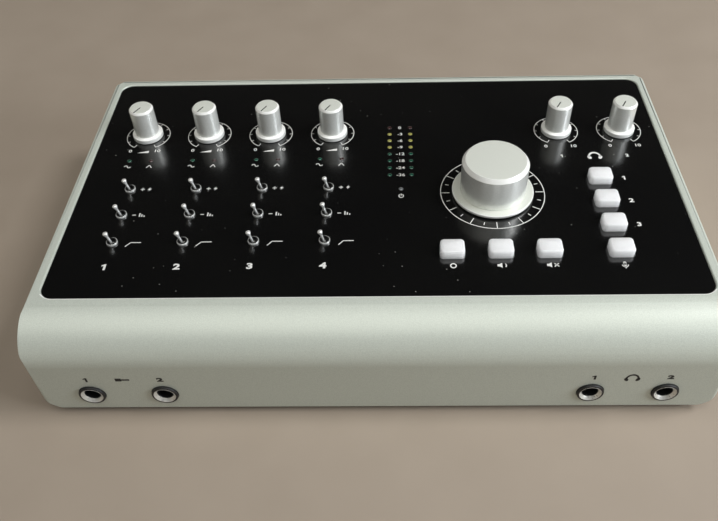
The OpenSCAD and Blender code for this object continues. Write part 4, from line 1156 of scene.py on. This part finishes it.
# Finishes of the nodes that stay
NODE_FINISHES = {
    "control_panel": acrylic, "rear_panel": powder_black, "base_plate": powder_black, "main_board": solder_mask,
    "control_board": solder_mask, "board_posts": nylon, "panel_posts": brass, "potentiometers": pot_plastic,
    "volume_encoder": zinc, "toggle_switches": abs_black, "button_switches": epoxy, "combo_sockets": abs_black,
    "optical_sockets": abs_black, "clock_socket": nickel, "usb_socket": zinc, "dc_inlet": abs_black,
    "power_switch": abs_black, "power_button": abs_black, "ribbon_cable": ribbon, "board_chips": epoxy,
    "capacitors": sleeve, "volume_spindle": zinc,
}
for node, used in NODE_FINISHES.items():
    mesh = frame["nodes"][node].data
    mesh.materials.clear()
    mesh.materials.append(used)


# Stage, light and camera

FLOOR_SIZE = 6000.0
FLOOR_LEVEL = -0.02
ROOM_STRENGTH = 0.8
DIM_HORIZON = "#484E54"
PALE_BACKDROP = "#C9C1B6"
DARK_CEILING = "#202020"
# The camera's place from the middle of the panel, its turns in degrees, its lens and the shift of its frame
CAMERA_PLACE = Vector((6.50, -260.16, 221.89))
CAMERA_TURNS = (43.177, 1.305, 0.535)
CAMERA_LENS = 38.108
CAMERA_SENSOR = 36.0
CAMERA_SHIFT = (-0.0209, -0.0021)
CAMERA_NEAR = 10.0


def make_stage():
    """A plain pale floor, larger than any view needs."""
    floor = start("plane", (FLOOR_SIZE, FLOOR_SIZE, 1), (0, 0, FLOOR_LEVEL), size=1)
    bpy.ops.object.mode_set(mode="OBJECT")
    floor.name = "floor"
    floor.data.materials.append(finish("pale matt floor", ("#9A8D7E", "#9E9182"), (0.6, 0.7), 30.0, 0.0))


def make_lamp(kind, name, place, power, colour, **settings):
    """A soft lamp of a kind that points at the part."""
    data = bpy.data.lights.new(name, kind)
    data.energy = power
    data.color = linear(colour)[:3]
    for setting, value in settings.items():
        setattr(data, setting, value)
    lamp = bpy.data.objects.new(name, data)
    lamp.location = Vector(place) * MM
    lamp.rotation_euler = (PANEL_MIDDLE - Vector(place)).to_track_quat("-Z", "Y").to_euler()
    bpy.context.scene.collection.objects.link(lamp)


def make_world():
    """Faint room light that fades upwards, and a pale backdrop that is only seen or mirrored."""
    world = bpy.data.worlds.new("studio")
    bpy.context.scene.world = world
    world.use_nodes = True
    tree = world.node_tree
    back = tree.nodes["Background"]
    place = add(tree, "TexCoord").outputs["Generated"]
    height = add(tree, "SeparateXYZ", {0: place}).outputs["Z"]
    share = add(tree, "MapRange", {"Value": height, "From Min": 0.02, "From Max": 0.25})
    dark = linear(DARK_CEILING)
    shade = add(tree, "Mix", {0: share.outputs[0], 6: linear(DIM_HORIZON), 7: dark}, data_type="RGBA")
    # Seen straight on, or mirrored, the room is a pale backdrop below the dark ceiling
    reach = add(tree, "MapRange", {"Value": height, "From Min": 0.2, "From Max": 0.4})
    backdrop = add(tree, "Mix", {0: reach.outputs[0], 6: linear(PALE_BACKDROP), 7: dark}, data_type="RGBA")
    rays = add(tree, "LightPath").outputs
    direct = add(tree, "Math", {0: rays["Is Camera Ray"], 1: rays["Is Glossy Ray"]}, operation="MAXIMUM")
    seen = add(tree, "Math", {0: direct.outputs[0], 1: rays["Is Transmission Ray"]}, operation="MAXIMUM")
    room = add(tree, "Mix", {0: seen.outputs[0], 6: shade.outputs[2], 7: backdrop.outputs[2]},
               data_type="RGBA")
    tree.links.new(room.outputs[2], back.inputs["Color"])
    back.inputs["Strength"].default_value = ROOM_STRENGTH


def make_camera():
    """Camera at the photograph's angle."""
    data = bpy.data.cameras.new("camera")
    data.sensor_fit = "HORIZONTAL"
    data.sensor_width = CAMERA_SENSOR
    data.lens = CAMERA_LENS
    data.shift_x, data.shift_y = CAMERA_SHIFT
    data.clip_start = CAMERA_NEAR * MM
    camera = bpy.data.objects.new("camera", data)
    camera.location = (PANEL_MIDDLE + CAMERA_PLACE) * MM
    camera.rotation_euler = [math.radians(angle) for angle in CAMERA_TURNS]
    bpy.context.scene.collection.objects.link(camera)
    bpy.context.scene.camera = camera


make_stage()
make_lamp("SUN", "ceiling", (-60, -200, 1000), 1.45, "#FFFDF8", angle=math.radians(54))
make_lamp("AREA", "key", (1300, 40, 1650), 18, "#FDFDFF", shape="SQUARE", size=500 * MM)
make_lamp("AREA", "window", (800, -330, 420), 5.2, "#F2F8FF", shape="SQUARE", size=300 * MM)
make_world()
make_camera()
bpy.context.scene.view_settings.view_transform = "Standard"
